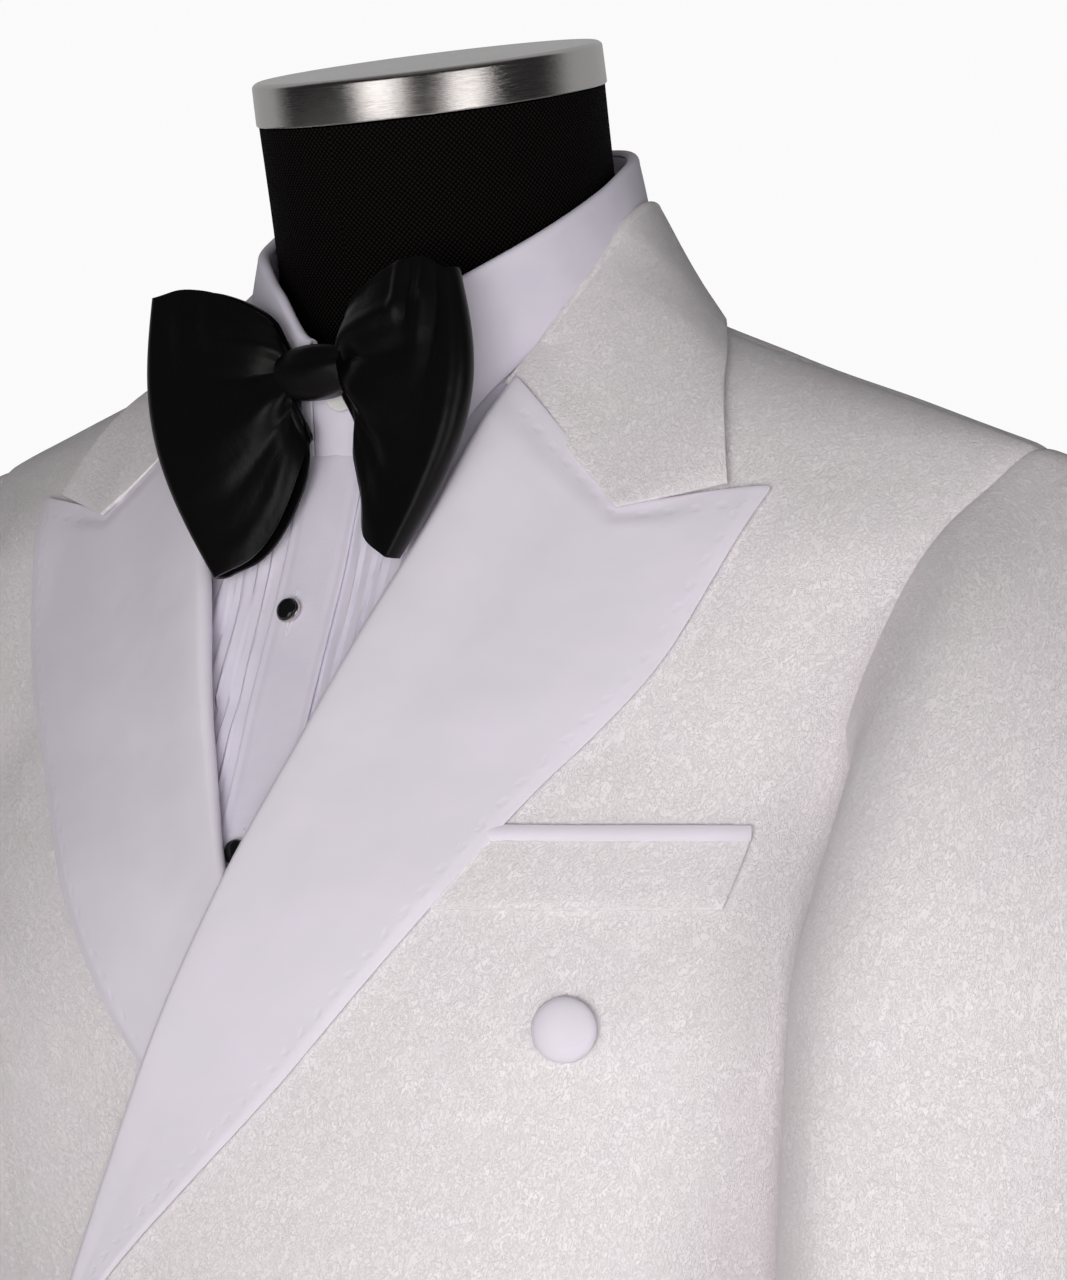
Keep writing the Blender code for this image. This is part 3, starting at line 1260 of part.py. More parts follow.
def make_studs():
    profile = [(0.0, 0.0036), (0.0022, 0.0030), (STUD_RADIUS, 0.0014), (STUD_RADIUS, 0.0004),
               (0.0014, 0.0), (0.0, 0.0)]
    for number, (x, z) in enumerate(STUDS, 1):
        base = shirt_out(0) + 2 * SHIRTING + BUTTON_ROOM + SEAM
        turned(f"stud_{number}", "jet", profile, 12, on_front(x, z, base),
               facing_at(x, z, base))
    profile = [(0.0, 0.0022), (0.0030, 0.0022), (0.0055, 0.0014), (0.0055, 0.0), (0.0, 0.0)]
    x, z = BAND_BUTTON
    turn = math.degrees(math.asin(x / BAND_TOP[0]))
    low, high = shirt_neck(turn), band_top(turn)
    place = low.lerp(high, (z - low.z) / (high.z - low.z))
    facing = Vector((0.12, -1.0, -0.05)).normalized()
    turned("band_button", "pearl", profile, 12, place + facing * (SHIRTING + 1.5 * BUTTON_ROOM), facing)


def main():
    global PARTS, CUTTERS
    for old in list(bpy.data.objects):
        bpy.data.objects.remove(old, do_unlink=True)
    PARTS = bpy.data.collections.new("tuxedo")
    CUTTERS = bpy.data.collections.new("cutters")
    bpy.context.scene.collection.children.link(PARTS)
    bpy.context.scene.collection.children.link(CUTTERS)
    make_jacket_body()
    make_lapels()
    make_sleeves()
    make_collar()
    make_shirt()
    make_shirt_sleeves()
    make_bow()
    make_form()
    make_trousers()
    make_pocket()
    make_buttons()
    make_studs()


if __name__ == "__main__":
    main()
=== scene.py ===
"""The looks of a white double-breasted tuxedo on its dress form.

Metres, +Z up; the garment faces -Y and the wearer's left side is +X. Each piece of cloth is
an open sheet laid on the sections of the body, given its creases and then its wall. Places
on the body are told by a turn (0 at the centre front, 90 at the wearer's left, 180 at the
centre back) and a level (0 at the hem, 1 where the cloth starts to arch, 2 on the shoulder).
On a sheet, u runs across and v up, both from 0 to 1.
"""
import math
from functools import partial
from types import SimpleNamespace

import bmesh
import bpy
import numpy as np
from mathutils import Matrix, Vector
from mathutils.bvhtree import BVHTree


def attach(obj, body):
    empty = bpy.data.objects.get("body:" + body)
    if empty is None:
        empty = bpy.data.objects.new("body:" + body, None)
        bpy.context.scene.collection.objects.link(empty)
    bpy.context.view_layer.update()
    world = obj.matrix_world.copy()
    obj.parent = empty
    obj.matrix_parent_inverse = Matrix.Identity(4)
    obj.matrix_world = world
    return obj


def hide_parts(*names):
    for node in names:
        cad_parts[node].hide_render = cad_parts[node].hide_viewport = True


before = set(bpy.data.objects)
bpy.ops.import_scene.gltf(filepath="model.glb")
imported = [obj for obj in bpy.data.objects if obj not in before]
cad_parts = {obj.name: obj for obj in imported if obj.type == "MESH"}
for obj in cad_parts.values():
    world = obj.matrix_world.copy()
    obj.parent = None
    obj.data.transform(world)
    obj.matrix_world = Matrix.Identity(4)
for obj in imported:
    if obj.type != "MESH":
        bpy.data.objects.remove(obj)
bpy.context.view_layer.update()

# ------------------------------------------------------------------ sizes
HEM_Z, BREAK_Z, ARCH_Z = 0.775, 1.165, 1.36
SHOULDER_Y, NECK_X, FRONT_EDGE_X = 0.004, 0.076, 0.085
CLOTH, SATIN, SHIRTING = 0.0014, 0.0013, 0.0011     # walls
THIN_CLOTH, THIN_SATIN, STRAP_SATIN = 0.001, 0.0012, 0.0007
SEAM, OVERLAP_LIFT = 0.0004, 0.0058         # gap between neighbours; left front over right
SIDE_TURN, BACK_TURN, BACK_ROUNDNESS, TOP_LEVEL = 80.0, 124.0, 0.8, 1.994
SIDES = ("left", "right")
UP = np.array((0, 0, 1.0))


# ------------------------------------------------------------------ curves through tables
def smooth(keys, values):
    """A smooth curve through points, held at both ends, that reads whole arrays."""
    keys, values = np.array(keys, float), np.array(values, float)
    before = np.maximum(np.arange(len(keys)) - 1, 0)
    after = np.minimum(np.arange(len(keys)) + 1, len(keys) - 1)
    slope = (values[after] - values[before]) / (keys[after] - keys[before])

    def read(x):
        x = np.clip(x, keys[0], keys[-1])
        i = np.clip(np.searchsorted(keys, x, side="right") - 1, 0, len(keys) - 2)
        h = keys[i + 1] - keys[i]
        return arc(values[i], values[i + 1], h * slope[i], h * slope[i + 1], (x - keys[i]) / h)
    return read


def arc(a, b, leave, arrive, t):
    """The smooth path from a to b that leaves and arrives in the given ways."""
    return (a * (2 * t**3 - 3 * t**2 + 1) + b * (3 * t**2 - 2 * t**3)
            + leave * (t**3 - 2 * t**2 + t) + arrive * (t**3 - t**2))


def table(names, *rows):
    """A table whose named columns are smooth curves along its first one."""
    columns = list(zip(*rows))
    made = SimpleNamespace(keys=columns[0], columns=columns)
    for name, column in zip(names.split()[1:], columns[1:]):
        setattr(made, name, smooth(columns[0], column))
    return made


def mix(a, b, t):
    return a + (b - a) * t


def between(place, other, share):
    return mix(place, other, np.asarray(share)[..., None])


def choose(test, places, others):
    return np.where(test[..., None], places, others)


def share_of(a, b, x):
    """How far x has come from a to b, from 0 to 1."""
    return np.clip((x - a) / (b - a), 0.0, 1.0)


def ease(a, b, x):
    """0 before a, 1 after b, smooth between; also for b < a."""
    t = share_of(a, b, x)
    return t * t * (3 - 2 * t)


def unit(vectors):
    return vectors / np.maximum(np.linalg.norm(vectors, axis=-1, keepdims=True), 1e-12)


def sind(turn):
    return np.sin(np.radians(turn))


def cosd(turn):
    return np.cos(np.radians(turn))


def stack(x, y, z):
    return np.stack(np.broadcast_arrays(x, y, z), -1).astype(float)


def split(places):
    return places[..., 0], places[..., 1], places[..., 2]


BODY = table(
    "z half_width front back roundness",
    (0.775, 0.196, 0.14, 0.136, 0.8),
    (0.9, 0.191, 0.139, 0.138, 0.8),
    (1.02, 0.175, 0.138, 0.114, 0.78),
    (1.1, 0.166, 0.139, 0.1, 0.72),
    (1.18, 0.17, 0.145, 0.104, 0.62),
    (1.26, 0.183, 0.15, 0.116, 0.56),
    (1.31, 0.192, 0.144, 0.124, 0.85),
    (1.36, 0.205, 0.126, 0.126, 1.2),
    (1.41, 0.219, 0.11, 0.12, 1.3),
    (1.455, 0.231, 0.105, 0.114, 1.3),
    (1.52, 0.24, 0.103, 0.11, 1.3))
SHOULDER = table("x z", (0.0, 1.545), (0.04, 1.528), (0.075, 1.5048), (0.12, 1.486),
                 (0.17, 1.4683), (0.215, 1.4522), (0.26, 1.434))
NECKLINE = (0.077, 0.083, -0.016)          # half width, half depth, y of the centre
SHIRT_NECKLINE = (0.068, 0.0705, -0.014)
ROLL = table("z x", (1.165, -0.074), (1.184, -0.062), (1.23, -0.038), (1.277, -0.016),
             (1.32, 0.003), (1.36, 0.019), (1.4, 0.033), (1.43, 0.044), (1.476, 0.057))
LAPEL_EDGE = table("z x", (1.165, -0.066), (1.188, -0.044), (1.225, -0.003), (1.26, 0.033),
                   (1.3, 0.0665), (1.34, 0.0945), (1.38, 0.1225), (1.41, 0.1355),
                   (1.4392, 0.1464))
NOTCH, COLLAR_NOTCH = np.array((0.1046, 1.4345)), (0.1018, 1.4316)   # the collar laps the lapel
ARMHOLE_FRONT = table("z x", (1.323, 0.1885), (1.333, 0.1815), (1.348, 0.1775), (1.368, 0.1775),
                      (1.4, 0.186), (1.425, 0.196), (1.442, 0.207), (1.4546, 0.215))
ARMHOLE_BACK = table("z x", (1.36, 0.169), (1.38, 0.1755), (1.405, 0.186), (1.43, 0.199),
                     (1.4546, 0.215))
UNDERARM_DIP = 0.021


# ------------------------------------------------------------------ the body's surface
def ridge_z(x):
    return SHOULDER.z(np.abs(x))


def section_z(level, x):
    above = ARCH_Z + (ridge_z(x) - ARCH_Z) * sind(90 * (np.maximum(level, 1) - 1))
    return np.where(level <= 1, mix(HEM_Z, ARCH_Z, level), above)


def half_width(level, x=0.0):
    return BODY.half_width(section_z(level, x))


def level_of(z):
    """Level of a height below the arch."""
    return (z - HEM_Z) / (ARCH_Z - HEM_Z)


def level_at(x, z):
    rise = share_of(ARCH_Z, ridge_z(x), z)
    return np.where(z <= ARCH_Z, level_of(z), 1 + np.degrees(np.arcsin(rise)) / 90)


def turn_at(x, level):
    return np.degrees(np.arcsin(np.clip(x / half_width(level, x), -1.0, 1.0)))


def depth_and_bulge(z, front):
    """Half depth of the body before or behind its middle, and how its sides curve."""
    return (np.where(front, BODY.front(z) + SHOULDER_Y, BODY.back(z) - SHOULDER_Y),
            np.where(front, BODY.roundness(z), BACK_ROUNDNESS))


def skin(turn, level, out=0.0, narrow=0.0):
    """Points of the body; out moves them away from it and narrow draws in its sides."""
    turn, level, out = np.broadcast_arrays(*(np.asarray(a, float) for a in (turn, level, out)))
    across, along = sind(turn), cosd(turn)
    over = 90 * np.maximum(level - 1, 0)
    x = 0.2 * across
    for _ in range(5):                       # x and the section's height settle together
        x = half_width(level, x) * across
    z = section_z(level, x)
    depth, bulge = depth_and_bulge(z, along >= 0)
    y = SHOULDER_Y - np.where(along >= 0, 1, -1) * (depth + out) * np.abs(along)**bulge * cosd(over)
    return stack(x + (out - narrow) * across, y, z + out * sind(over))


def level_over(x, y, out):
    """Level at which the body, moved out, has this x and y."""
    level = np.full(np.broadcast(x, y).shape, 1.6)
    sign = np.where(y < SHOULDER_Y, 1.0, -1.0)
    for _ in range(4):
        z = section_z(level, x)
        depth = depth_and_bulge(z, sign > 0)[0] + out
        depth = depth * np.sqrt(np.maximum(1 - (x / half_width(level, x)) ** 2, 0))
        level = 1 + np.degrees(np.arccos(np.clip(sign * (SHOULDER_Y - y) / depth, 0, 1))) / 90
    return np.minimum(level, TOP_LEVEL)


def neckline_level(x, ring, out, behind=False):
    reach = ring[1] * np.sqrt(np.maximum(0.0, 1 - (x / ring[0]) ** 2))
    return level_over(x, ring[2] + (reach if behind else -reach), out)


def on_front(x, z, out=0.0):
    level = level_at(x, z)
    return skin(turn_at(x, level), level, out)


def facing_at(x, z, out=0.0, step=0.004):
    """The way in which the front faces at this x and height."""
    across = on_front(x + step, z, out) - on_front(x - step, z, out)
    return unit(np.cross(across, on_front(x, z + step, out) - on_front(x, z - step, out)))


def clear_of_body(places, out):
    """The places, moved out in front or behind where they lie inside the body's cloth."""
    x, y, z = split(places)
    level = np.minimum(level_at(x, z), 2.0)
    turn = turn_at(x, level)
    front, back = skin(turn, level, out)[..., 1], skin(180 - turn, level, out)[..., 1]
    inside = (front < y) & (y < back) & (z < ridge_z(x) + out)
    return stack(x, np.where(inside, np.where(y - front < back - y, front, back), y), z)


def flipped(places, test):
    """The places, turned over to the wearer's right where the test holds."""
    return places * stack(np.where(test, -1, 1), 1, 1)


def halved(turn):
    """A turn that runs on to 360 up the wearer's right, as one from 0 to 180 and its side."""
    return np.where(turn > 180, 360 - turn, turn), turn > 180


def skin_all_round(turn, level, out, narrow=0.0):
    half, right = halved(turn)
    return flipped(skin(half, level, out, narrow), right)


def edge_by_level(edge, *more):
    """An edge of the table, read by level, and the level at which it starts."""
    rows = [(float(level_at(x, z)), x) for z, x in zip(*edge.columns)] + list(more)
    return smooth(*zip(*rows)), rows[0][0]


ROLL_X = edge_by_level(ROLL, (2.0, NECK_X))[0]
FRONT_ARM_X, FRONT_ARM_LOW = edge_by_level(ARMHOLE_FRONT)
BACK_ARM_X, BACK_ARM_LOW = edge_by_level(ARMHOLE_BACK)


# ------------------------------------------------------------------ creases and edges
def creases(a, b, rows):
    """Soft ridges (height > 0) and troughs laid on a surface told by a and b.

    A row is the crease's two ends, its half width, its height and how far its middle bows.
    """
    total = np.zeros(np.broadcast(a, b).shape)
    for a0, b0, a1, b1, width, height, bow in rows:
        da, db = a1 - a0, b1 - b0
        length = math.hypot(da, db)
        t = ((a - a0) * da + (b - b0) * db) / length**2
        off = ((a - a0) * db - (b - b0) * da) / length - bow * np.sin(np.pi * np.clip(t, 0, 1))
        total += height * np.exp(-(off / width) ** 2) * ease(-0.1, 0.3, t) * ease(1.1, 0.6, t)
    return total


def ripple(a, b, seed, size, height):
    """Slow unevenness of hung cloth: a few long waves that never repeat."""
    total = 0.0
    for k in range(5):
        turn, phase = seed * 1.7 + k * 2.4, seed * 3.1 + k * 1.3
        reach = size * (0.7 + 0.35 * ((seed * 7 + k * 3) % 5))
        run = a * math.cos(turn) + b * math.sin(turn)
        total = total + np.sin(2 * np.pi * run / reach + phase)
    return height * total / 5


def from_edges(places):
    """How far each point lies from the sheet's left, right, lower and upper edge."""
    across = np.linalg.norm(np.diff(places, axis=1), axis=2).cumsum(axis=1)
    across = np.concatenate([np.zeros((len(places), 1)), across], axis=1)
    up = np.linalg.norm(np.diff(places, axis=0), axis=2).cumsum(axis=0)
    up = np.concatenate([np.zeros((1, places.shape[1])), up], axis=0)
    return across, across[:, -1:] - across, up, up[-1:] - up


def valley(distance, depth=0.0009, reach=0.0026):
    """The soft dip in which a seam lies."""
    return -depth * np.exp(-(distance / reach) ** 2)


# ------------------------------------------------------------------ making pieces
WELD, TRIM = 0.000004, 0.42                  # joined points; a wall's rounding, as its share


def shares(rows, columns, start=0.0):
    """The u and v of every point of a grid."""
    return np.meshgrid(np.linspace(start, 1, columns + 1), np.linspace(0, 1, rows + 1))


def grid_facing(places, wrapped=False):
    """The way in which a laid grid faces at each point."""
    across = np.gradient(places, axis=1)
    if wrapped:
        across[:, 0] = across[:, -1] = (places[:, 1] - places[:, -2]) / 2
    return unit(np.cross(across, np.gradient(places, axis=0)))


def add_map(mesh, name, values):
    """A map of the mesh from a pair of values for each of its points."""
    corner = np.zeros(len(mesh.loops), np.int32)
    mesh.loops.foreach_get("vertex_index", corner)
    mesh.uv_layers.new(name=name).data.foreach_set("uv", values[corner].ravel())


def linked(name, data):
    made = bpy.data.objects.new(name, data)
    bpy.context.scene.collection.objects.link(made)
    return made


def stance(place, way, axis="-Z"):
    """The frame of something set on a place with its axis turned this way."""
    return Matrix.Translation(place) @ Vector(way).to_track_quat(axis, "Y").to_matrix().to_4x4()


def laid_grid(name, finish, rows, columns, point, relief=None, mirrored=False, wrapped=False,
              turn_over=False, cut_turned=False):
    """A grid laid by point(u, v) and raised by relief(u, v, places), and what it measures flat.

    Its map, cut, holds the cloth's own width and length in metres.
    """
    bm = bmesh.new()
    bmesh.ops.create_grid(bm, x_segments=columns, y_segments=rows, size=1.0)
    spots = np.array([v.co for v in bm.verts])
    i = np.rint((spots[:, 0] + 1) / 2 * columns).astype(int)
    j = np.rint((spots[:, 1] + 1) / 2 * rows).astype(int)
    u, v = shares(rows, columns)
    places = point(u, v)
    if relief:
        places = places + grid_facing(places, wrapped) * relief(u, v, places)[..., None]
    steps = np.linalg.norm(np.diff(places, axis=1), axis=2)
    rises = np.linalg.norm(np.diff(places, axis=0), axis=2)
    along = np.concatenate([np.zeros((rows + 1, 1)), np.cumsum(steps, axis=1)], axis=1)
    along -= along[:, [columns // 2]]
    up = np.cumsum(np.concatenate([[0], rises.mean(axis=1)]))[:, None] + 0 * along
    area = float((0.25 * (steps[1:] + steps[:-1]) * (rises[:, 1:] + rises[:, :-1])).sum())
    if mirrored:
        places = places * (-1, 1, 1)
    for vert, a, b in zip(bm.verts, j, i):
        vert.co = places[a, b]
    if mirrored != turn_over:
        bmesh.ops.reverse_faces(bm, faces=bm.faces[:])
    mesh = bpy.data.meshes.new(name)
    bm.to_mesh(mesh)
    bm.free()
    cut = [up[j, i], along[j, i]] if cut_turned else [along[j, i], up[j, i]]
    add_map(mesh, "cut", np.stack(cut, 1))
    if wrapped:
        bm = bmesh.new()
        bm.from_mesh(mesh)
        bmesh.ops.remove_doubles(bm, verts=bm.verts[:], dist=WELD)
        bm.to_mesh(mesh)
        bm.free()
    mesh.shade_smooth()
    mesh.set_sharp_from_angle(angle=math.radians(45))
    mesh.materials.append(material(finish))
    return linked(name, mesh), float(along.max() - along.min()), float(up.max()), area


def worn(made, finish, *nodes):
    """The piece rides on the form and stands for its solids."""
    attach(made, "root")
    if nodes:
        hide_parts(*nodes)
    return made


def cloth(name, finish, rows, columns, point, wall, side="", held="hung",
          rests_on=("form_body",), **way):
    """A sheet of cloth with its wall outside the places it is laid by."""
    name = f"{name}_{side}" if side else name
    made, width, length, area = laid_grid(f"{name}_cloth", finish, rows, columns, point,
                                          mirrored=side == "right", **way)
    solidify = made.modifiers.new("wall", "SOLIDIFY")
    solidify.thickness, solidify.offset, solidify.use_quality_normals = wall, 1.0, True
    soften = made.modifiers.new("edge", "BEVEL")
    soften.limit_method, soften.angle_limit = "ANGLE", math.radians(60)
    soften.width, soften.segments, soften.profile = TRIM * wall, 2, 0.5
    worn(made, finish, name)
    return made


def closed_piece(name, finish, rows, columns, point, *nodes, **way):
    return worn(laid_grid(name, finish, rows, columns, point, wrapped=True, **way)[0],
                finish, *nodes)


def read_profile(profile, v):
    """Radius and height of a profile, a share of the way along its points."""
    profile, k = np.array(profile, float), v * (len(profile) - 1)
    low = np.minimum(k.astype(int), len(profile) - 2)
    return (mix(profile[low, c], profile[low + 1, c], k - low) for c in (0, 1))


def turned(name, finish, profile, steps, place, facing, solid):
    """A round piece: a profile of (radius, height), turned about its axis and set on a place."""
    standing = np.array(stance(place, facing, "Z"))

    def point(u, v):
        radius, height = read_profile(profile, v)
        local = stack(radius * sind(360 * u), -radius * cosd(360 * u), height)
        return local @ standing[:3, :3].T + standing[:3, 3]
    closed_piece(name, finish, len(profile) - 1, steps, point, solid)


def rounded(profile, radius, steps=4):
    """The profile with its corners turned in short arcs."""
    points = [Vector(p) for p in profile]
    made = [points[0]]
    for a, b, c in zip(points, points[1:], points[2:]):
        r = min(radius, min((a - b).length, (c - b).length) * 0.45)
        start, end = b + (a - b).normalized() * r, b + (c - b).normalized() * r
        for k in range(steps + 1):
            t = k / steps
            made.append(start * (1 - t) ** 2 + b * 2 * t * (1 - t) + end * t * t)
    return [tuple(p) for p in made + [points[-1]]]


# ------------------------------------------------------------------ materials
MATERIALS = {}
STITCH_INSET, STITCH_PITCH = 0.005, 0.008


def plug(tree, inputs, sockets):
    """Fill the inputs: constants are set on them, other nodes' outputs are linked."""
    for socket, value in sockets.items():
        if isinstance(value, bpy.types.NodeSocket):
            tree.links.new(value, inputs[socket])
        else:
            inputs[socket].default_value = value


def node(tree, kind, sockets=None, **settings):
    made = tree.nodes.new("ShaderNode" + kind)
    for key, value in settings.items():
        setattr(made, key, value)
    plug(tree, made.inputs, sockets or {})
    return made


def dress(tree, sockets):
    plug(tree, tree.nodes["Principled BSDF"].inputs, sockets)


def started(name, colour, roughness, shine=0.5, sheen=(0.0, 0.5), metal=0.0, coat=0.0):
    """A new material's nodes, its shader set; sheen is its weight and roughness."""
    made = MATERIALS[name] = bpy.data.materials.new(name)
    made.use_nodes = True
    dress(made.node_tree, {
        "Base Color": (*colour, 1), "Roughness": roughness, "Specular IOR Level": shine,
        "Sheen Weight": sheen[0], "Sheen Roughness": sheen[1], "Metallic": metal,
        "Coat Weight": coat})
    return made.node_tree


def cut_millimetres(tree, across=1.0, along=1.0):
    """The cloth's own map in millimetres, stretched across or along."""
    place = node(tree, "UVMap", uv_map="cut").outputs[0]
    scale = (1000 * across, 1000 * along, 1000)
    return node(tree, "Mapping", {"Vector": place, "Scale": scale}).outputs[0]


def noise(tree, scale, detail, roughness, distortion=0.0, across=1.0, along=1.0, place=None):
    return node(tree, "TexNoise", {
        "Vector": place or cut_millimetres(tree, across, along), "Scale": scale,
        "Detail": detail, "Roughness": roughness, "Distortion": distortion}).outputs[0]


def bands(tree, axis, scale, distortion, detail_scale=1.0):
    return node(tree, "TexWave", {
        "Vector": cut_millimetres(tree), "Scale": scale, "Distortion": distortion, "Detail": 1.0,
        "Detail Scale": detail_scale}, bands_direction=axis).outputs[1]


def ranged(tree, value, low, high, to_low=0.0, to_high=1.0, way="SMOOTHSTEP"):
    return node(tree, "MapRange", {"Value": value, "From Min": low, "From Max": high,
                                   "To Min": to_low, "To Max": to_high},
                interpolation_type=way).outputs[0]


def maths(tree, operation, a, b=0.0):
    return node(tree, "Math", {0: a, 1: b}, operation=operation).outputs[0]


def blend_colours(tree, share, a, b):
    a, b = ((*c, 1) if isinstance(c, tuple) else c for c in (a, b))
    return node(tree, "Mix", {0: share, 6: a, 7: b}, data_type="RGBA").outputs[2]


def raise_by(tree, *layers):
    """Bumps one after another: (height, distance in metres, strength)."""
    below = {}
    for height, distance, strength in layers:
        below = {"Normal": node(tree, "Bump", {"Height": height, "Distance": distance,
                                               "Strength": strength, **below}).outputs[0]}
    dress(tree, below)


def pick_stitches(tree):
    """Dimples of pick stitches, from the map that tells how far a point is from the edge."""
    place = node(tree, "UVMap", uv_map="stitched").outputs[0]
    spot = node(tree, "SeparateXYZ", {0: place}).outputs
    off = maths(tree, "ABSOLUTE", maths(tree, "SUBTRACT", spot[0], STITCH_INSET))
    run = maths(tree, "FRACT", maths(tree, "DIVIDE", spot[1], STITCH_PITCH))
    run = maths(tree, "ABSOLUTE", maths(tree, "SUBTRACT", run, 0.5))
    return maths(tree, "SUBTRACT", 1.0, maths(
        tree, "MULTIPLY", ranged(tree, off, 0.0016, 0.0002), ranged(tree, run, 0.3, 0.06)))


def make_jacquard(name="jacquard", stitched=False):
    """Off-white crackle jacquard: shiny threads in small broken islands on a matt ground."""
    tree = started(name, (0.8, 0.757, 0.78), 0.6, 0.4, sheen=(0.08, 0.45))
    grain = noise(tree, 1.05, 5.0, 0.66, 1.4, along=0.58)
    clumps = noise(tree, 0.16, 3.0, 0.6, along=0.8)
    uneven = maths(tree, "MULTIPLY", maths(tree, "SUBTRACT", clumps, 0.5), 0.42)
    figure = ranged(tree, maths(tree, "ADD", grain, uneven), 0.46, 0.56)
    threads = noise(tree, 2.6, 2.0, 0.6, 0.4, along=0.35)
    tint = ranged(tree, noise(tree, 0.022, 2.0, 0.5), 0.35, 0.65)
    ground = blend_colours(tree, tint, (0.838, 0.791, 0.826), (0.838, 0.797, 0.82))
    raised = blend_colours(tree, tint, (0.88, 0.836, 0.87), (0.878, 0.84, 0.862))
    dress(tree, {"Base Color": blend_colours(tree, figure, ground, raised),
                 "Roughness": ranged(tree, figure, 0, 1, 0.78, 0.46)})
    layers = [(figure, 0.00032, 0.6), (threads, 0.00014, 0.45)]
    raise_by(tree, *layers, *([(pick_stitches(tree), 0.00018, 0.5)] if stitched else []))


def make_satin(name="satin", stitched=False):
    tree = started(name, (0.735, 0.69, 0.76), 0.42, 0.45, sheen=(0.18, 0.4))
    weave = noise(tree, 5.0, 1.0, 0.5, along=0.12)
    slow = noise(tree, 0.045, 2.0, 0.5)
    dress(tree, {"Base Color": blend_colours(tree, ranged(tree, slow, 0.3, 0.7),
                                             (0.75, 0.711, 0.797), (0.77, 0.727, 0.822))})
    layers = [(slow, 0.0012, 0.5), (weave, 0.00004, 0.5)]
    raise_by(tree, *layers, *([(pick_stitches(tree), 0.00024, 0.5)] if stitched else []))


def make_shirting():
    """White poplin, ribbed finely across."""
    tree = started("shirting", (0.715, 0.695, 0.775), 0.68, 0.3, sheen=(0.12, 0.5))
    slow = noise(tree, 0.06, 2.0, 0.5)
    dress(tree, {"Base Color": blend_colours(tree, ranged(tree, slow, 0.3, 0.7),
                                             (0.714, 0.675, 0.788), (0.745, 0.705, 0.814))})
    raise_by(tree, (slow, 0.0008, 0.4), (bands(tree, "Y", 0.72, 1.2, 1.5), 0.00006, 0.45))


def make_black_satin():
    tree = started("black_satin", (0.0034, 0.0029, 0.003), 0.36, 0.23)
    weave = noise(tree, 6.0, 1.0, 0.5, across=0.15)
    raise_by(tree, (noise(tree, 0.11, 3.0, 0.5), 0.0008, 0.5), (weave, 0.00004, 0.5))


def make_black_cloth():
    """Coarse black canvas: an over-and-under weave."""
    tree = started("black_cloth", (0.006, 0.005, 0.005), 0.85, 0.05)
    warp, weft = (bands(tree, axis, 0.175, 0.8) for axis in "XY")
    cross = maths(tree, "ABSOLUTE", maths(tree, "SUBTRACT", warp, weft))
    dress(tree, {"Base Color": blend_colours(tree, ranged(tree, cross, 0.1, 0.8),
                                             (0.001, 0.0009, 0.0009), (0.0115, 0.009, 0.009))})
    raise_by(tree, (cross, 0.0007, 0.9), (noise(tree, 3.0, 2.0, 0.6), 0.0001, 0.4))


def make_steel():
    """Steel brushed round its rim."""
    tree = started("steel", (0.6, 0.57, 0.565), 0.16, metal=1.0)
    brushed = noise(tree, 7.0, 3.0, 0.6, across=0.012)
    dress(tree, {"Roughness": ranged(tree, brushed, 0.3, 0.7, 0.1, 0.25)})
    raise_by(tree, (brushed, 0.00008, 0.5))


def make_plain(name, colour, roughness, **settings):
    """A hard finish whose gloss is a little uneven, as handled pieces are."""
    tree = started(name, colour, roughness, **settings)
    spots = noise(tree, 900.0, 3.0, 0.5, place=node(tree, "TexCoord").outputs["Object"])
    dress(tree, {"Roughness": ranged(tree, spots, 0.3, 0.7, roughness * 0.8, roughness * 1.25)})


FINISHES = {
    "jacquard": make_jacquard, "satin": make_satin, "shirting": make_shirting,
    "black_satin": make_black_satin, "black_cloth": make_black_cloth, "steel": make_steel,
    "stitched_satin": partial(make_satin, "stitched_satin", True),
    "stitched_jacquard": partial(make_jacquard, "stitched_jacquard", True),
    "jet": partial(make_plain, "jet", (0.006, 0.006, 0.007), 0.1, shine=0.6),
    "pearl": partial(make_plain, "pearl", (0.74, 0.73, 0.72), 0.22, coat=0.4),
    "silver": partial(make_plain, "silver", (0.74, 0.7, 0.66), 0.22, metal=1.0),
    "thread": partial(make_plain, "thread", (0.72, 0.7, 0.78), 0.6),
    "floor": partial(make_plain, "floor", (0.8, 0.79, 0.78), 0.7),
}


def material(name):
    if name not in MATERIALS:
        FINISHES[name]()
    return MATERIALS[name]


# ------------------------------------------------------------------ jacket body
NECK_COLUMN, CHEST_ROW = 5 / 9, 0.75         # shares of the sheet where those begin
CHEST_TURN, MIDDLE_BACK = 64.0, 179.95
ROLL_GAP, PAD = 0.0054, 0.009
FRONT_CREASES = (
    (0.118, 1.262, 0.158, 1.318, 0.007, 0.0009, 0.002),
    (0.124, 1.252, 0.172, 1.262, 0.009, -0.001, 0.003),
    (0.1, 1.24, 0.15, 1.19, 0.011, 0.0011, -0.004),
    (0.15, 1.225, 0.176, 1.12, 0.012, -0.0013, 0.003),
    (0.166, 1.352, 0.178, 1.285, 0.006, -0.0011, 0.002),
    (0.05, 1.13, 0.12, 1.06, 0.014, 0.0012, 0.005),
    (0.02, 1.12, 0.11, 1.01, 0.012, -0.001, 0.003),
    (0.14, 1.05, 0.165, 0.86, 0.017, 0.0019, 0.006),
    (0.085, 1.0, 0.1, 0.8, 0.018, -0.0015, -0.004),
    (0.01, 0.96, 0.03, 0.79, 0.02, 0.0012, 0.003))
LEFT_CREASES = (
    (0.09, 1.345, 0.14, 1.352, 0.01, 0.0008, 0.003),
    (-0.05, 1.12, 0.03, 1.14, 0.008, -0.0008, 0.002),
    (-0.06, 1.03, 0.01, 0.93, 0.013, 0.001, 0.004))
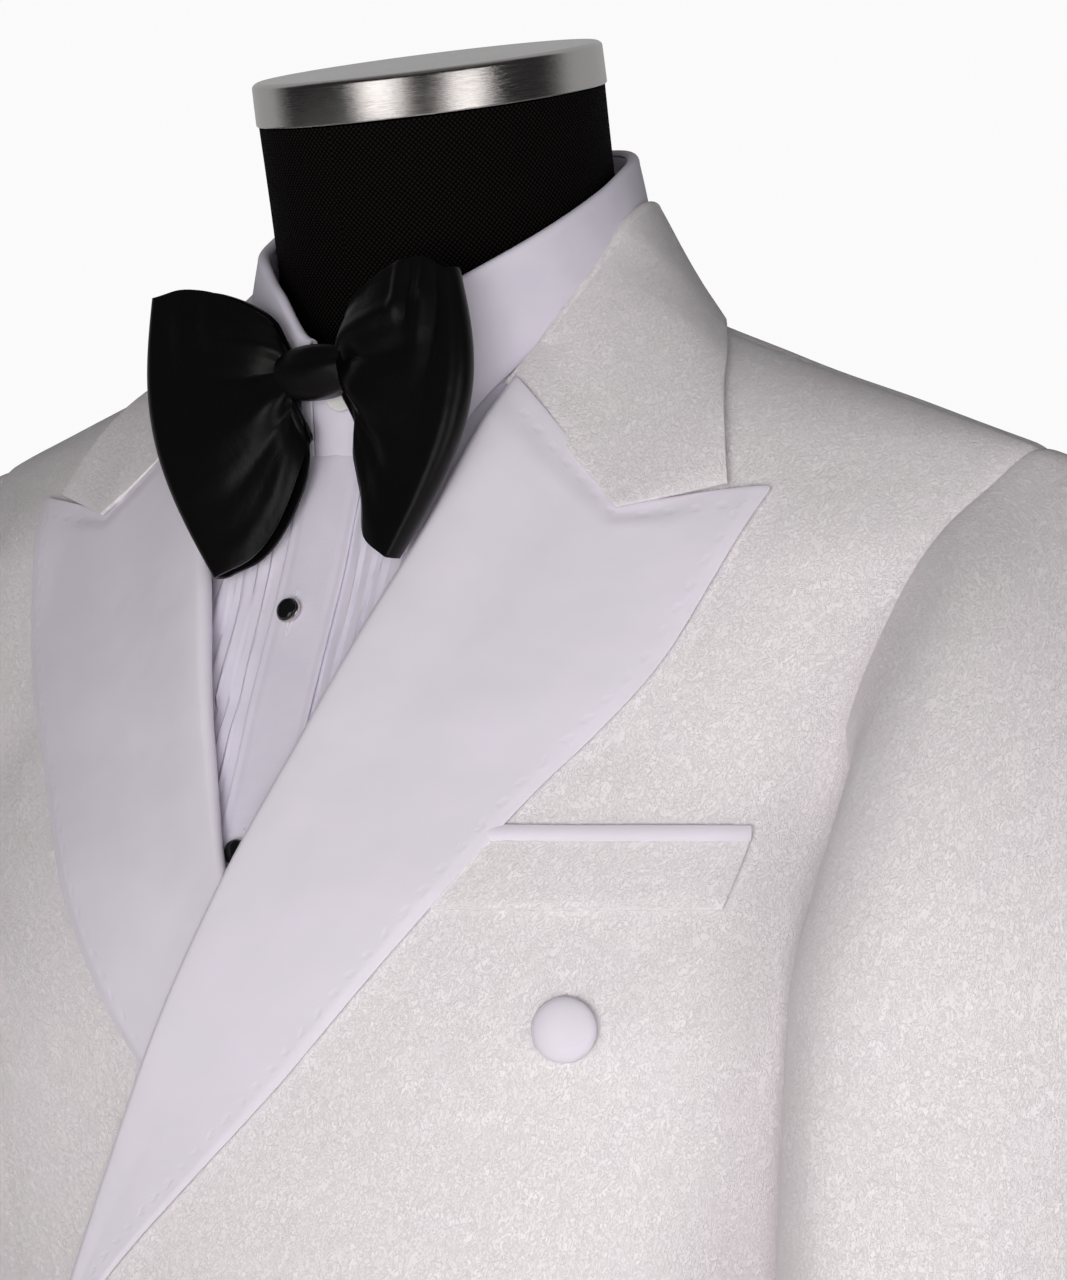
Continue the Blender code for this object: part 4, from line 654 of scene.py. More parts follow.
RIGHT_CREASES = (
    (0.1, 1.35, 0.15, 1.33, 0.012, 0.0009, 0.004),
    (0.06, 0.99, 0.13, 0.9, 0.013, -0.001, -0.004))
SIDE_CREASES = (
    (0.3, 1.3, 0.4, 0.82, 0.1, 0.0016, 0.02),
    (0.7, 1.24, 0.62, 0.8, 0.12, -0.0014, 0.03),
    (0.05, 1.22, 0.6, 1.14, 0.035, 0.0012, 0.02),
    (0.2, 1.3, 0.85, 1.28, 0.025, -0.0012, 0.02))
BACK_CREASES = (
    (0.15, 1.345, 0.165, 1.18, 0.009, 0.0018, 0.004),
    (0.125, 1.33, 0.14, 1.16, 0.011, -0.0014, -0.004),
    (0.02, 1.13, 0.12, 1.09, 0.013, 0.0013, 0.006),
    (0.03, 1.08, 0.135, 1.06, 0.012, -0.0013, 0.004),
    (0.09, 1.02, 0.11, 0.8, 0.018, 0.0018, 0.005),
    (0.04, 0.98, 0.045, 0.79, 0.016, -0.0013, 0.003),
    (0.01, 1.47, 0.06, 1.452, 0.008, 0.0009, 0.003))


def body_level(v, top=TOP_LEVEL):
    """Rows lie closest over the chest."""
    low = np.interp(v, (0, 0.25, CHEST_ROW), (0, level_of(1.05), 1))
    return np.where(v <= CHEST_ROW, low, 1 + (top - 1) * (v - CHEST_ROW) / (1 - CHEST_ROW))


def front_edge_x(level):
    z = mix(HEM_Z, ARCH_Z, np.minimum(level, 1))
    below = mix(-FRONT_EDGE_X + 0.004, -FRONT_EDGE_X, ease(0, 0.15, level))
    above = ROLL_X(level) + ROLL_GAP + 0.004 * ease(1.45, 1.75, level)
    return mix(below, above, ease(1.105, BREAK_Z + 0.004, z))


def outer_x(level, armhole_x, armhole_low, seam_turn):
    """The seam at the panel's side, and above it the armhole."""
    side = half_width(np.minimum(level, armhole_low)) * sind(seam_turn)
    return np.where(level >= armhole_low, armhole_x(level) - SEAM, side)


def overlap_lift(x, z):
    return OVERLAP_LIFT * ease(0.15, 0.092, x) * ease(1.44, 1.34, z)


def filled(places):
    """The padded chest fills the front out towards the armhole."""
    x, _, z = split(places)
    fill = ease(0.118, 0.17, x) * ease(1.322, 1.368, z) * ease(1.453, 1.415, z)
    return places - stack(0, PAD * fill, 0)


def front_point(u, v, left):
    """A front; only its last columns bend out to the armhole's corner. The left one laps over."""
    level = body_level(v)
    even = mix(SIDE_TURN, CHEST_TURN, ease(level_of(1.22), level_of(1.39), level))
    outer = turn_at(outer_x(level, FRONT_ARM_X, FRONT_ARM_LOW, SIDE_TURN - 0.05), level)
    turn = mix(turn_at(front_edge_x(level), level), even, u) + (outer - even) * u**5
    place = skin(turn, level)
    if left:
        lift = overlap_lift(place[..., 0], place[..., 2])
        place = skin(turn, level, lift, lift)
    return filled(place)


def front_creases(x, z, left):
    """The chest is smooth; drags run from the button, from the armhole and down the skirt."""
    return (creases(x, z, FRONT_CREASES + (LEFT_CREASES if left else RIGHT_CREASES))
            + ripple(x, z, 2.0 if left else 5.0, 0.075, 0.0005))


def front_dart(x, z):
    """The front dart's seam, from under the pocket down."""
    seam = mix(0.103, 0.0985, ease(1.26, 1.0, z))
    return valley(x - seam, 0.0007, 0.0016) * ease(1.266, 1.256, z) * ease(0.86, 0.9, z)


def front_relief(u, v, places, left):
    x, _, z = split(places)
    inner, outer, low, high = from_edges(places)
    edge = ease(0.0, 0.012, np.minimum(inner, low)) * ease(0, 0.01, outer) * ease(0, 0.01, high)
    return front_creases(x, z, left) * edge + front_dart(x, z) + valley(outer) + valley(high)


def underarm_z(u):
    return mix(ARMHOLE_FRONT.keys[0], ARMHOLE_BACK.keys[0], u) - UNDERARM_DIP * np.sin(np.pi * u)


def side_point(u, v):
    turn = mix(SIDE_TURN + 0.05, BACK_TURN - 0.05, u)
    return skin(turn, level_of(underarm_z(u) - SEAM) * v)


def side_relief(u, v, places):
    inner, outer = from_edges(places)[:2]
    folds = creases(u, places[..., 2], SIDE_CREASES)
    return folds * ease(0, 0.01, np.minimum(inner, outer)) + valley(inner) + valley(outer)


def back_point(u, v):
    past_neck = np.maximum(0.0, (u - NECK_COLUMN) / (1 - NECK_COLUMN))
    x_top = NECK_X * np.cos(np.pi / 2 * past_neck)
    top = np.where(past_neck > 0, neckline_level(x_top, NECKLINE, 0.0, behind=True), TOP_LEVEL)
    level = body_level(v, top)
    outer = 180 - turn_at(outer_x(level, BACK_ARM_X, BACK_ARM_LOW, BACK_TURN + 0.05), level)
    upper = np.where(past_neck > 0, np.minimum(180 - turn_at(x_top, level), MIDDLE_BACK),
                     mix(outer, 180 - turn_at(NECK_X, level), u / NECK_COLUMN))
    return skin(mix(mix(outer, MIDDLE_BACK, u), upper, ease(0.5, 1.0, v)), level)


def back_relief(u, v, places):
    inner, outer, _, high = from_edges(places)
    x, _, z = split(places)
    folds = creases(x, z, BACK_CREASES) * ease(0, 0.012, np.minimum(inner, outer))
    return (folds * ease(0, 0.012, high) + ripple(x, z, 3.0, 0.085, 0.0006)
            + valley(inner) + valley(outer) + valley(high))


for SIDE in SIDES:
    LEFT = SIDE == "left"
    cloth("front", "jacquard", 180, 80, partial(front_point, left=LEFT), CLOTH, SIDE,
          relief=partial(front_relief, left=LEFT))
for SIDE in SIDES:
    cloth("side", "jacquard", 100, 26, side_point, CLOTH, SIDE, relief=side_relief)
    cloth("back", "jacquard", 120, 54, back_point, CLOTH, SIDE, relief=back_relief)

# ------------------------------------------------------------------ lapels and pocket
LAPEL_ROOT, LAPEL_LIFT, LAPEL_FOLD, FOLD_SOFTER = 0.0042, 0.0018, 0.0011, 0.001
FOLD_SHARE, FOLD_START = 0.26, 0.25          # the roll's share of the width, its own flat start
PEAK_UP, PEAK_ACROSS = 0.006, 0.014          # shares over which the peak is turned round


def front_guide(left):
    """The front's own surface, carried on past its inner edge, to lay pieces on."""
    u, v = shares(189, 109, -0.45)
    places = front_point(u, v, left)
    inside = ease(0, 0.1, 1 - u) * ease(0, 0.05, v) * ease(0, 0.05, 1 - v)
    folds = front_creases(places[..., 0], places[..., 2], left) * inside
    places = (places + grid_facing(places) * folds[..., None]).reshape(-1, 3)
    wide = u.shape[1]
    faces = [(a, a + 1, a + 1 + wide, a + wide) for a in range(len(places) - wide)
             if a % wide != wide - 1]
    return BVHTree.FromPolygons(places.tolist(), faces)


def laid_on(side, x, z, out):
    """Points of a front at these front-view places, moved out of the body."""
    x, z, out = np.broadcast_arrays(x, z, out)
    bare = on_front(x, z).reshape(-1, 3)
    made = np.array([GUIDES[side].ray_cast(Vector((a, -1.0, b)), Vector((0, 1, 0)))[0] or c
                     for a, b, c in zip(x.ravel(), z.ravel(), bare)])
    return made.reshape(x.shape + (3,)) + facing_at(x, z) * out[..., None]


GUIDES = {side: front_guide(side == "left") for side in SIDES}
GORGE, PEAK = (np.array((edge.columns[1][-1], edge.keys[-1])) for edge in (ROLL, LAPEL_EDGE))


def lapel_plan(s, t):
    """Front-view place on the lapel: s runs up it, t from the roll line to the free edge."""
    z_roll, z_edge = mix(BREAK_Z, GORGE[1], s), mix(BREAK_Z, PEAK[1], s)
    roll = np.stack([ROLL.x(z_roll), z_roll], -1)
    edge = np.stack([LAPEL_EDGE.x(z_edge), z_edge], -1)
    s, t = s[..., None], t[..., None]
    top = np.where(t <= 0.5, mix(GORGE, NOTCH, 2 * t), mix(NOTCH, PEAK, 2 * t - 1))
    return mix(roll, edge, t) + (top - mix(GORGE, PEAK, t)) * s**5


def rounded_peak(s, t):
    """The last few millimetres of the peak, turned round."""
    q, p = share_of(1 - PEAK_UP, 1, s), share_of(1 - PEAK_ACROSS, 1, t)
    both = (p > 0) & (q > 0)
    return (np.where(both, 1 - PEAK_UP * (1 - q * np.sqrt(1 - p * p / 2)), s),
            np.where(both, 1 - PEAK_ACROSS * (1 - p * np.sqrt(1 - q * q / 2)), t))


def lapel_point(u, v, side):
    """A lapel: from under its roll round the fold, then out over the front to the free edge."""
    fold = LAPEL_FOLD + FOLD_SOFTER * ease(0.45, 0.8, v)
    root = lapel_plan(v, 0 * v)
    across = unit(lapel_plan(v, 0.25 + 0 * v) - root)
    step = np.minimum(u / FOLD_SHARE, 1)
    angle = np.pi * np.maximum(step - FOLD_START, 0) / (1 - FOLD_START)
    along = np.where(step < FOLD_START, mix(LAPEL_ROOT, fold + CLOTH, step / FOLD_START),
                     fold + CLOTH - fold * np.sin(angle))
    t = np.maximum(u - FOLD_SHARE, 0) / (1 - FOLD_SHARE)
    width = np.linalg.norm(lapel_plan(v, 1 + 0 * v) - root, axis=-1)
    face = lapel_plan(*rounded_peak(v, mix((fold + CLOTH) / width, 1, t)))
    place = choose(u > FOLD_SHARE, face, root + across * along[..., None])
    height = CLOTH + np.where(u > FOLD_SHARE, mix(2 * fold, LAPEL_LIFT, ease(0, 0.35, t)),
                              fold * (1 - np.cos(angle))) - 0.0007 * ease(0.94, 1.0, t)
    sink = 0.0014 * ease(0.955, 0.985, v) * ease(0.85, 0.6, t)
    height = np.maximum(height - sink, np.minimum(height, CLOTH + 0.0004))
    return laid_on(side, place[..., 0], place[..., 1], height)


def stitch_map(made, distance, along):
    """A second map: how far a point is from the stitched edge, and how far along it."""
    add_map(made.data, "stitched", np.stack([distance, along], -1).reshape(-1, 2))
    made.data.uv_layers.active_index = 0


def stitch_lapel(made, u, v):
    """Stitches run up the free edge and back along the peak's top."""
    spots = lapel_plan(*rounded_peak(v, np.maximum(u - FOLD_SHARE, 0) / (1 - FOLD_SHARE)))
    run = np.linspace(0, 1, 400)
    edge = lapel_plan(*rounded_peak(run, 1 + 0 * run))
    top = lapel_plan(*rounded_peak(1 + 0 * run, 1 - 0.95 * run))
    line = np.concatenate([edge, top[1:]])
    length = np.concatenate([[0], np.linalg.norm(np.diff(line, axis=0), axis=1).cumsum()])
    gaps = np.linalg.norm(spots[:, :, None] - line[None, None, ::2], axis=-1)
    distance = np.where(u < FOLD_SHARE, 0.05, gaps.min(-1))
    stitch_map(made, distance, length[::2][gaps.argmin(-1)])


for SIDE in SIDES:
    stitch_lapel(cloth("lapel", "stitched_satin", 210, 70, partial(lapel_point, side=SIDE), SATIN,
                       SIDE, held="folded", rests_on=(f"front_{SIDE}",)), *shares(210, 70))

POCKET_TOP_Z, POCKET_OUTER_X = 1.3345, 0.154
PIPING_HEIGHT, WELT_HEIGHT, WELT_SLANT, UNDER_LAPEL = 0.0042, 0.0205, 0.0037, 0.012


def pocket_x(u, z, outer):
    return mix(LAPEL_EDGE.x(z) - UNDER_LAPEL, outer, u)


def welt_point(u, v):
    z = POCKET_TOP_Z - PIPING_HEIGHT - 0.0001 - WELT_HEIGHT * (1 - v)
    x = pocket_x(u, z, POCKET_OUTER_X - WELT_SLANT * (1 - v))
    return laid_on("left", x, z, CLOTH + 0.0008)


def piping_point(u, v):
    z = POCKET_TOP_Z - PIPING_HEIGHT * (1 - v)
    return laid_on("left", pocket_x(u, z, POCKET_OUTER_X), z,
                   CLOTH + 0.0009 + 0.0006 * np.sin(np.pi * v))


WELT = cloth("breast_welt", "stitched_jacquard", 24, 110, welt_point, THIN_CLOTH, held="folded",
             rests_on=("front_left",),
             relief=lambda u, v, p: -0.0004 * ease(0.004, 0, from_edges(p)[2]))
cloth("breast_piping", "satin", 12, 150, piping_point, SATIN, held="folded",
      rests_on=("front_left",))
WELT_OUTER, WELT_LOW = from_edges(welt_point(*shares(24, 110)))[1:3]
stitch_map(WELT, WELT_OUTER + 0.0022, WELT_LOW)

# ------------------------------------------------------------------ sleeves
SLEEVE = table(
    "z x y half_breadth half_depth twist",
    (0.86, 0.238, -0.092, 0.038, 0.056, 10.0),
    (0.96, 0.236, -0.078, 0.043, 0.064, 12.0),
    (1.08, 0.231, -0.066, 0.047, 0.072, 16.0),
    (1.2, 0.227, -0.058, 0.05, 0.077, 22.0),
    (1.285, 0.231, -0.046, 0.053, 0.081, 26.0))
SLEEVE_LOW_Z, SLEEVE_HIGH_Z = SLEEVE.keys[0], SLEEVE.keys[-1]
FRONT_SEAM, BACK_SEAM = -45.0, 202.5         # turns round the sleeve
SLEEVE_SHARE, SLEEVE_CLEAR = 7 / 12, 0.0065
PAST_ARMHOLE = 0.03                          # the rows that pass in under the body's panels
ARMHOLE_CENTRE = np.array((0.19, 0.002, 1.385))
ARMHOLE_STEP, STEPS_TO_ARCH = 22.5, 5        # turns of the armhole told in steps from the top
SLEEVE_CREASES = (
    (0.0, 1.3, 0.06, 1.13, 0.03, 0.0022, 0.01),
    (0.1, 1.33, 0.11, 1.09, 0.035, -0.0022, 0.02),
    (0.2, 1.35, 0.17, 1.12, 0.032, 0.002, -0.01),
    (0.33, 1.32, 0.28, 1.1, 0.04, -0.002, 0.01),
    (0.45, 1.33, 0.4, 1.14, 0.035, 0.0021, 0.02),
    (-0.08, 1.22, 0.1, 1.07, 0.03, -0.0016, 0.01),
    (-0.05, 1.105, 0.15, 1.04, 0.024, 0.0026, 0.01),
    (-0.06, 1.06, 0.12, 1.0, 0.02, -0.002, 0.01),
    (0.6, 1.2, 0.72, 1.06, 0.03, 0.0022, 0.01),
    (0.55, 1.08, 0.74, 1.02, 0.022, -0.002, 0.01),
    (0.2, 1.02, 0.24, 0.88, 0.04, 0.0018, 0.02),
    (0.05, 0.99, 0.02, 0.88, 0.035, -0.0016, 0.01),
    (0.4, 1.01, 0.44, 0.88, 0.035, -0.0015, 0.02))


def beside_body(places, out):
    """The places, moved sideways where they lie inside the body's side."""
    x, y, z = split(places)
    level = np.minimum(level_at(x, z), 2.0)
    height, forward = section_z(level, x), SHOULDER_Y - y
    depth = np.where(forward >= 0, BODY.front(height), BODY.back(height)) + out
    bulge = depth_and_bulge(height, forward >= 0)[1]
    reach = np.minimum(np.abs(forward) / depth, 1.0) ** (1 / bulge)
    least = (half_width(level, x) + out) * np.sqrt(1 - reach * reach)
    soft = (x + least + np.sqrt((x - least) ** 2 + 0.003**2)) / 2
    return stack(np.where(x - least > 0.02, x, soft), y, z)


def sleeve_ring(turn, z, inset=0.0):
    across = (SLEEVE.half_breadth(z) - inset) * sind(turn)
    along = -(SLEEVE.half_depth(z) - inset) * cosd(turn)
    twist = -SLEEVE.twist(z)
    x = SLEEVE.x(z) + across * cosd(twist) - along * sind(twist)
    y = SLEEVE.y(z) + across * sind(twist) + along * cosd(twist)
    return beside_body(stack(x, y, z), SLEEVE_CLEAR + inset)


def armhole(turn):
    """Armhole seam by turn: 90 at the shoulder tip, 270 under the arm."""
    turn, front_seam = turn % 360, FRONT_SEAM + 360
    u = share_of(front_seam, BACK_SEAM, turn)
    under = skin(mix(SIDE_TURN, BACK_TURN, u), level_of(underarm_z(u)))
    front = (turn < 90) | (turn > 270)
    steps = np.where(front, (90 - turn) % 360, turn - 90) / ARMHOLE_STEP
    low = np.where(front, FRONT_ARM_LOW, BACK_ARM_LOW)
    level = np.where(steps <= STEPS_TO_ARCH, mix(TOP_LEVEL, 1.0, steps / STEPS_TO_ARCH),
                     mix(1.0, low, steps - STEPS_TO_ARCH))
    body_turn = turn_at(np.where(front, FRONT_ARM_X(level), BACK_ARM_X(level)), level)
    upper = skin(np.where(front, body_turn, 180 - body_turn), level)
    return choose((BACK_SEAM < turn) & (turn < front_seam), under,
                  choose(front, filled(upper), upper))


def sleeve_point(turn, v, inset=0.0, tuck=0.0):
    """A sleeve: rings up to the underarm, then a head that curves in to the armhole.

    tuck is how far its last rows pass in under the body's panels.
    """
    ring = sleeve_ring(turn, mix(SLEEVE_LOW_Z, SLEEVE_HIGH_Z, np.minimum(v / SLEEVE_SHARE, 1)),
                       inset)
    t = share_of(SLEEVE_SHARE, 1, v)[..., None]
    low, high = sleeve_ring(turn, SLEEVE_HIGH_Z + 0 * v, inset), armhole(turn)
    radial = unit(high - ARMHOLE_CENTRE)
    _, fore, rise = split(radial)
    outward = unit(stack(1.0, np.where(fore < 0, 0.95, 1.2) * fore,
                         np.where(rise > 0, -0.42, 0.25) * rise))
    under = ease(20, 110, np.abs((turn + 90) % 360 - 180))
    high = high + outward * (2 * SEAM + 1.6 * CLOTH * under)[..., None] - radial * inset
    proud = mix(0.0016, 0.003, ease(0.3, -0.4, rise)) * ease(0.05, -0.45, fore)
    high = high + stack(0.25, -0.95, 0.1) * proud[..., None]
    reach = np.linalg.norm(high - low, axis=-1, keepdims=True)
    below = sleeve_ring(turn, SLEEVE_HIGH_Z - 0.01 + 0 * v, inset)
    head = arc(low, high, unit(low - below) * reach, -outward * reach * 0.9, t)
    beyond = np.maximum(v - 1, 0)[..., None] / PAST_ARMHOLE
    head = head - (outward * 0.005 + radial * 0.002 * np.minimum(beyond * 2, 1)) * beyond * tuck
    return np.where(t > 0, head, ring)


def sleeve_relief(u, v, places, start, end):
    """Long soft drags down the sleeve, shorter ones at the elbow and under the head."""
    turn, z = mix(start, end, u), places[..., 2]
    inner, outer, low, high = from_edges(places)
    folds = creases(turn / 400, z, SLEEVE_CREASES) + ripple(turn / 900, z, 4.0, 0.09, 0.0009)
    free = ease(0, 0.03, low) * ease(0, 0.05, high) * ease(0, 0.02, np.minimum(inner, outer))
    return folds * free + valley(inner) + valley(outer) - 0.0006 * ease(0.012, 0.002, high)


def jacket_sleeve_point(u, v, start, end):
    return sleeve_point(mix(start + 0.1, end - 0.1, u), (1 + PAST_ARMHOLE) * v, tuck=1.0)


for SIDE in SIDES:
    for NAME, COLUMNS, SPAN in (("top", 68, {"start": FRONT_SEAM, "end": BACK_SEAM}),
                                ("under", 30, {"start": BACK_SEAM, "end": FRONT_SEAM + 360})):
        cloth(f"{NAME}_sleeve", "jacquard", 124, COLUMNS, partial(jacket_sleeve_point, **SPAN),
              CLOTH, SIDE, relief=partial(sleeve_relief, **SPAN))

# ------------------------------------------------------------------ jacket collar
COLLAR = table(
    "turn fold_z stand_z edge_x edge_lap",
    (56.5, 1.4748, 1.4735, 0.132, 1.447),
    (60, 1.4815, 1.479, 0.1276, 1.531),
    (66, 1.4922, 1.486, 0.1236, 1.6),
    (73, 1.503, 1.4925, 0.119, 1.678),
    (80, 1.5125, 1.497, 0.113, 1.778),
    (87, 1.5212, 1.5, 0.106, 1.872),
    (95, 1.5312, 1.5035, 0.0965, 1.985),
    (110, 1.539, 1.506, 0.079, 2.17),
    (135, 1.541, 1.508, 0.052, 2.4),
    (180, 1.5455, 1.511, 0.0, 2.52))
COLLAR_FOLD_RING = (0.0664, 0.0806, -0.0183)
COLLAR_STAND_RING = (0.0755, 0.083, -0.017)
COLLAR_LIFT, COLLAR_BACK_LIFT, COLLAR_FOLD = 0.0046, 0.0023, 0.0009
FALL_END, FOLD_END = 0.6, 0.8                # shares of the collar's width


def ring_point(ring, turn, z=0.0, out=0.0):
    half_x, half_y, y = ring
    return stack((half_x + out) * sind(turn), y - (half_y + out) * cosd(turn), z)


def lap_point(x, lap, out):
    """A point of the body told by its x and its lap: past 2 the level falls down the back."""
    level = np.minimum(lap, 4 - lap)
    turn = turn_at(x, level)
    return skin(np.where(lap <= 2, turn, 180 - turn), level, out)


def away_from(places, y_centre):
    return unit((places - np.array((0, y_centre, 0))) * (1, 1, 0))


def soft_fold(place, outward, radius, share):
    """The half turn of a fold that stands on its place, from the outer side over the top."""
    angle = np.pi * np.clip(share, 0, 1)
    return (place + outward * (radius * (1 + np.cos(angle)))[..., None]
            + UP * (radius * np.sin(angle))[..., None])


def collar_point(u, v):
    cut, right = halved(mix(COLLAR.keys[0], 360 - COLLAR.keys[0], u))
    fold = ring_point(COLLAR_FOLD_RING, cut, COLLAR.fold_z(cut))
    outward = away_from(fold, COLLAR_FOLD_RING[2])
    t = share_of(0, FALL_END, v)
    lift = mix(COLLAR_LIFT, COLLAR_BACK_LIFT, ease(64, 88, cut))
    edge = lap_point(COLLAR.edge_x(cut), COLLAR.edge_lap(cut), lift)
    top = fold + outward * 2 * COLLAR_FOLD
    crown = (edge + top) / 2 + UP * 0.0012 + outward * 0.0006
    w = t[..., None]
    free = edge * (1 - w) * (1 - 2 * w) + crown * 4 * w * (1 - w) + top * w * (2 * w - 1)
    notch = on_front(*COLLAR_NOTCH, COLLAR_LIFT) + 0 * edge
    end = np.where(w <= 0.5, mix(edge, notch, 2 * w), mix(notch, top, 2 * w - 1))
    fall = clear_of_body(between(free, end, ease(82, 57, cut)), lift - 0.0012 * ease(0.08, 0, t))
    over = soft_fold(fold, outward, COLLAR_FOLD, (v - FALL_END) / (FOLD_END - FALL_END))
    stand = between(fold, ring_point(COLLAR_STAND_RING, cut, COLLAR.stand_z(cut)),
                    share_of(FOLD_END, 1, v))
    return flipped(choose(v <= FALL_END, fall, choose(v <= FOLD_END, over, stand)), right)


cloth("collar", "jacquard", 50, 170, collar_point, CLOTH, held="folded", cut_turned=True,
      rests_on=("front_left", "front_right", "back_left", "back_right"),
      relief=lambda u, v, p: 0.0004 * np.sin(23 * u) * ease(0, 0.2, v) * ease(0.6, 0.4, v))

# ------------------------------------------------------------------ shirt
PLACKET_HALF, TUCK, TUCKS, TUCK_RISE, TUCK_EDGE = 0.0125, 0.005, 5, 0.0016, 0.9
TUCKS_FROM = PLACKET_HALF + 0.001
TUCKS_TO = TUCKS_FROM + TUCKS * TUCK
TUCKED_SHARE, CHEST_SHARE, NECK_SHARE = 0.56, 0.62, 0.45
SHIRT_TUCKED, WAIST_LINE_Z, SHIRT_DEPTH, TOP_MARGIN = -0.019, 1.11, -0.005, 0.006
NECK_END_TURN, SHOULDER_FROM_X, SHOULDER_TO_X, SHIRT_SIDE_TURN = 104.8, 0.0657, 0.211, 89.9
SHIRT_INSET, CUFF_LOW_Z, CUFF_HIGH_Z = 0.008, 0.846, 0.906
SHIRT_CREASES = (
    (0.01, 1.44, 0.06, 1.38, 0.006, 0.001, 0.003),
    (0.042, 1.46, 0.08, 1.4, 0.007, -0.001, 0.003),
    (0.008, 1.335, 0.045, 1.3, 0.006, 0.0009, -0.002),
    (0.012, 1.29, 0.05, 1.25, 0.006, -0.0009, 0.002),
    (0.01, 1.38, 0.05, 1.352, 0.006, -0.0008, 0.002))


def shirt_out(turn, level=1.5):
    """How far the shirt lies outside the body; it is tucked in at the waist."""
    free = mix(-0.006, -0.0085, ease(15, 60, np.minimum(np.abs(turn), np.abs(180 - turn) + 30)))
    waist = level_of(WAIST_LINE_Z)
    return mix(free, SHIRT_TUCKED, ease(waist, waist - 0.04, level))


def shirt_skin(turn, level, proud=0.0):
    return skin(turn, level, shirt_out(turn, level) + proud)


def shirt_level(v, top):
    """Rows from the waist up; the last of them stop just below the top."""
    return np.where(v <= CHEST_SHARE, mix(level_of(1.0), 1, v / CHEST_SHARE),
                    mix(1, top - TOP_MARGIN, (v - CHEST_SHARE) / (1 - CHEST_SHARE)))


def shirt_neck(turn):
    """Neck seam of the shirt by turn."""
    x, y, _ = split(ring_point(SHIRT_NECKLINE, turn))
    level = level_over(np.abs(x), y, SHIRT_DEPTH)
    body_turn = turn_at(x, level)
    body_turn = np.where(y >= SHOULDER_Y, 180 - body_turn, body_turn)
    return skin(body_turn, level, shirt_out(body_turn))


def shirt_top(w, behind):
    """x and level of the top edge past the tucks: round the neck ring, then out to the arm."""
    start = 0.0 if behind else math.degrees(math.asin(TUCKS_TO / SHIRT_NECKLINE[0]))
    end = 180 - NECK_END_TURN if behind else NECK_END_TURN
    round_neck = mix(start, end, np.clip(w / NECK_SHARE, 0, 1))
    x, reach = SHIRT_NECKLINE[0] * sind(round_neck), SHIRT_NECKLINE[1] * cosd(round_neck)
    level = level_over(x, SHIRT_NECKLINE[2] + reach * (1 if behind else -1), SHIRT_DEPTH)
    past = w > NECK_SHARE
    shoulder_x = mix(SHOULDER_FROM_X, SHOULDER_TO_X, share_of(NECK_SHARE, 1, w))
    return np.where(past, shoulder_x, x), np.where(past, TOP_LEVEL, level)


def shirt_outer_turn(level, armhole_x, armhole_low):
    return np.where(level >= armhole_low, turn_at(armhole_x(level) - 0.004, level),
                    SHIRT_SIDE_TURN)


def shirt_front_point(u, v):
    """A shirt front: tucks beside the placket, then plain cloth to the side and the armhole."""
    x = mix(SEAM, TUCKS_TO, np.clip(u / TUCKED_SHARE, 0, 1))
    level = shirt_level(v, neckline_level(x, SHIRT_NECKLINE, SHIRT_DEPTH))
    phase = ((x - TUCKS_FROM) / TUCK) % 1.0
    proud = np.where(x > TUCKS_FROM, TUCK_RISE * np.minimum(
        phase / TUCK_EDGE, (1 - phase) / (1 - TUCK_EDGE)), 0)
    soften = 0.75 + 0.25 * np.sin(31 * level + 2.2 * np.floor((x - PLACKET_HALF) / TUCK))
    tucks = shirt_skin(turn_at(x, level), level, proud * soften)
    w = share_of(TUCKED_SHARE, 1, u)
    x_top, top = shirt_top(w, False)
    level = shirt_level(v, top)
    outer = shirt_outer_turn(level, FRONT_ARM_X, FRONT_ARM_LOW)
    even = mix(turn_at(TUCKS_TO, level), outer, w**1.6)
    turn = mix(even, np.minimum(turn_at(x_top, level), outer), ease(0.5, 1, v))
    return choose(u <= TUCKED_SHARE, tucks, shirt_skin(turn, level))


def placket_point(u, v):
    x = mix(-PLACKET_HALF, PLACKET_HALF, u)
    level = shirt_level(v, neckline_level(x, SHIRT_NECKLINE, SHIRT_DEPTH))
    return skin(turn_at(x, level), level, shirt_out(0.0, level) + SHIRTING + SEAM)


def shirt_back_point(u, v):
    """The shirt's back, one piece from side seam to side seam."""
    w = np.abs(1 - 2 * u)
    x_top, top = shirt_top(w, True)
    level = shirt_level(v, top)
    outer = shirt_outer_turn(level, BACK_ARM_X, BACK_ARM_LOW)
    turn = mix(outer * w, np.minimum(turn_at(x_top, level), outer), ease(0.5, 1, v))
    return flipped(shirt_skin(180 - turn, level), u > 0.5)


def shirt_ripple(p, seed=6.0, size=0.05, height=0.0004):
    return ripple(p[..., 0], p[..., 2], seed, size, height)


def shirt_front_relief(u, v, p):
    return creases(p[..., 0], p[..., 2], SHIRT_CREASES) * ease(0, 0.04, u) + shirt_ripple(p)


def topstitch(distance):
    """A row of stitches drawn in where the distance is nought."""
    return -0.0003 * ease(0.0012, 0.0002, np.abs(distance))


for SIDE in SIDES:
    cloth("shirt_front", "shirting", 90, 130, shirt_front_point, SHIRTING, SIDE,
          relief=shirt_front_relief)
cloth("shirt_placket", "shirting", 120, 22, placket_point, SHIRTING,
      relief=lambda u, v, p: shirt_ripple(p) + topstitch(np.abs(p[..., 0]) - PLACKET_HALF + 0.003))
cloth("shirt_back", "shirting", 60, 64, shirt_back_point, SHIRTING,
      relief=lambda u, v, p: shirt_ripple(p, 8.0, 0.07, 0.0006))

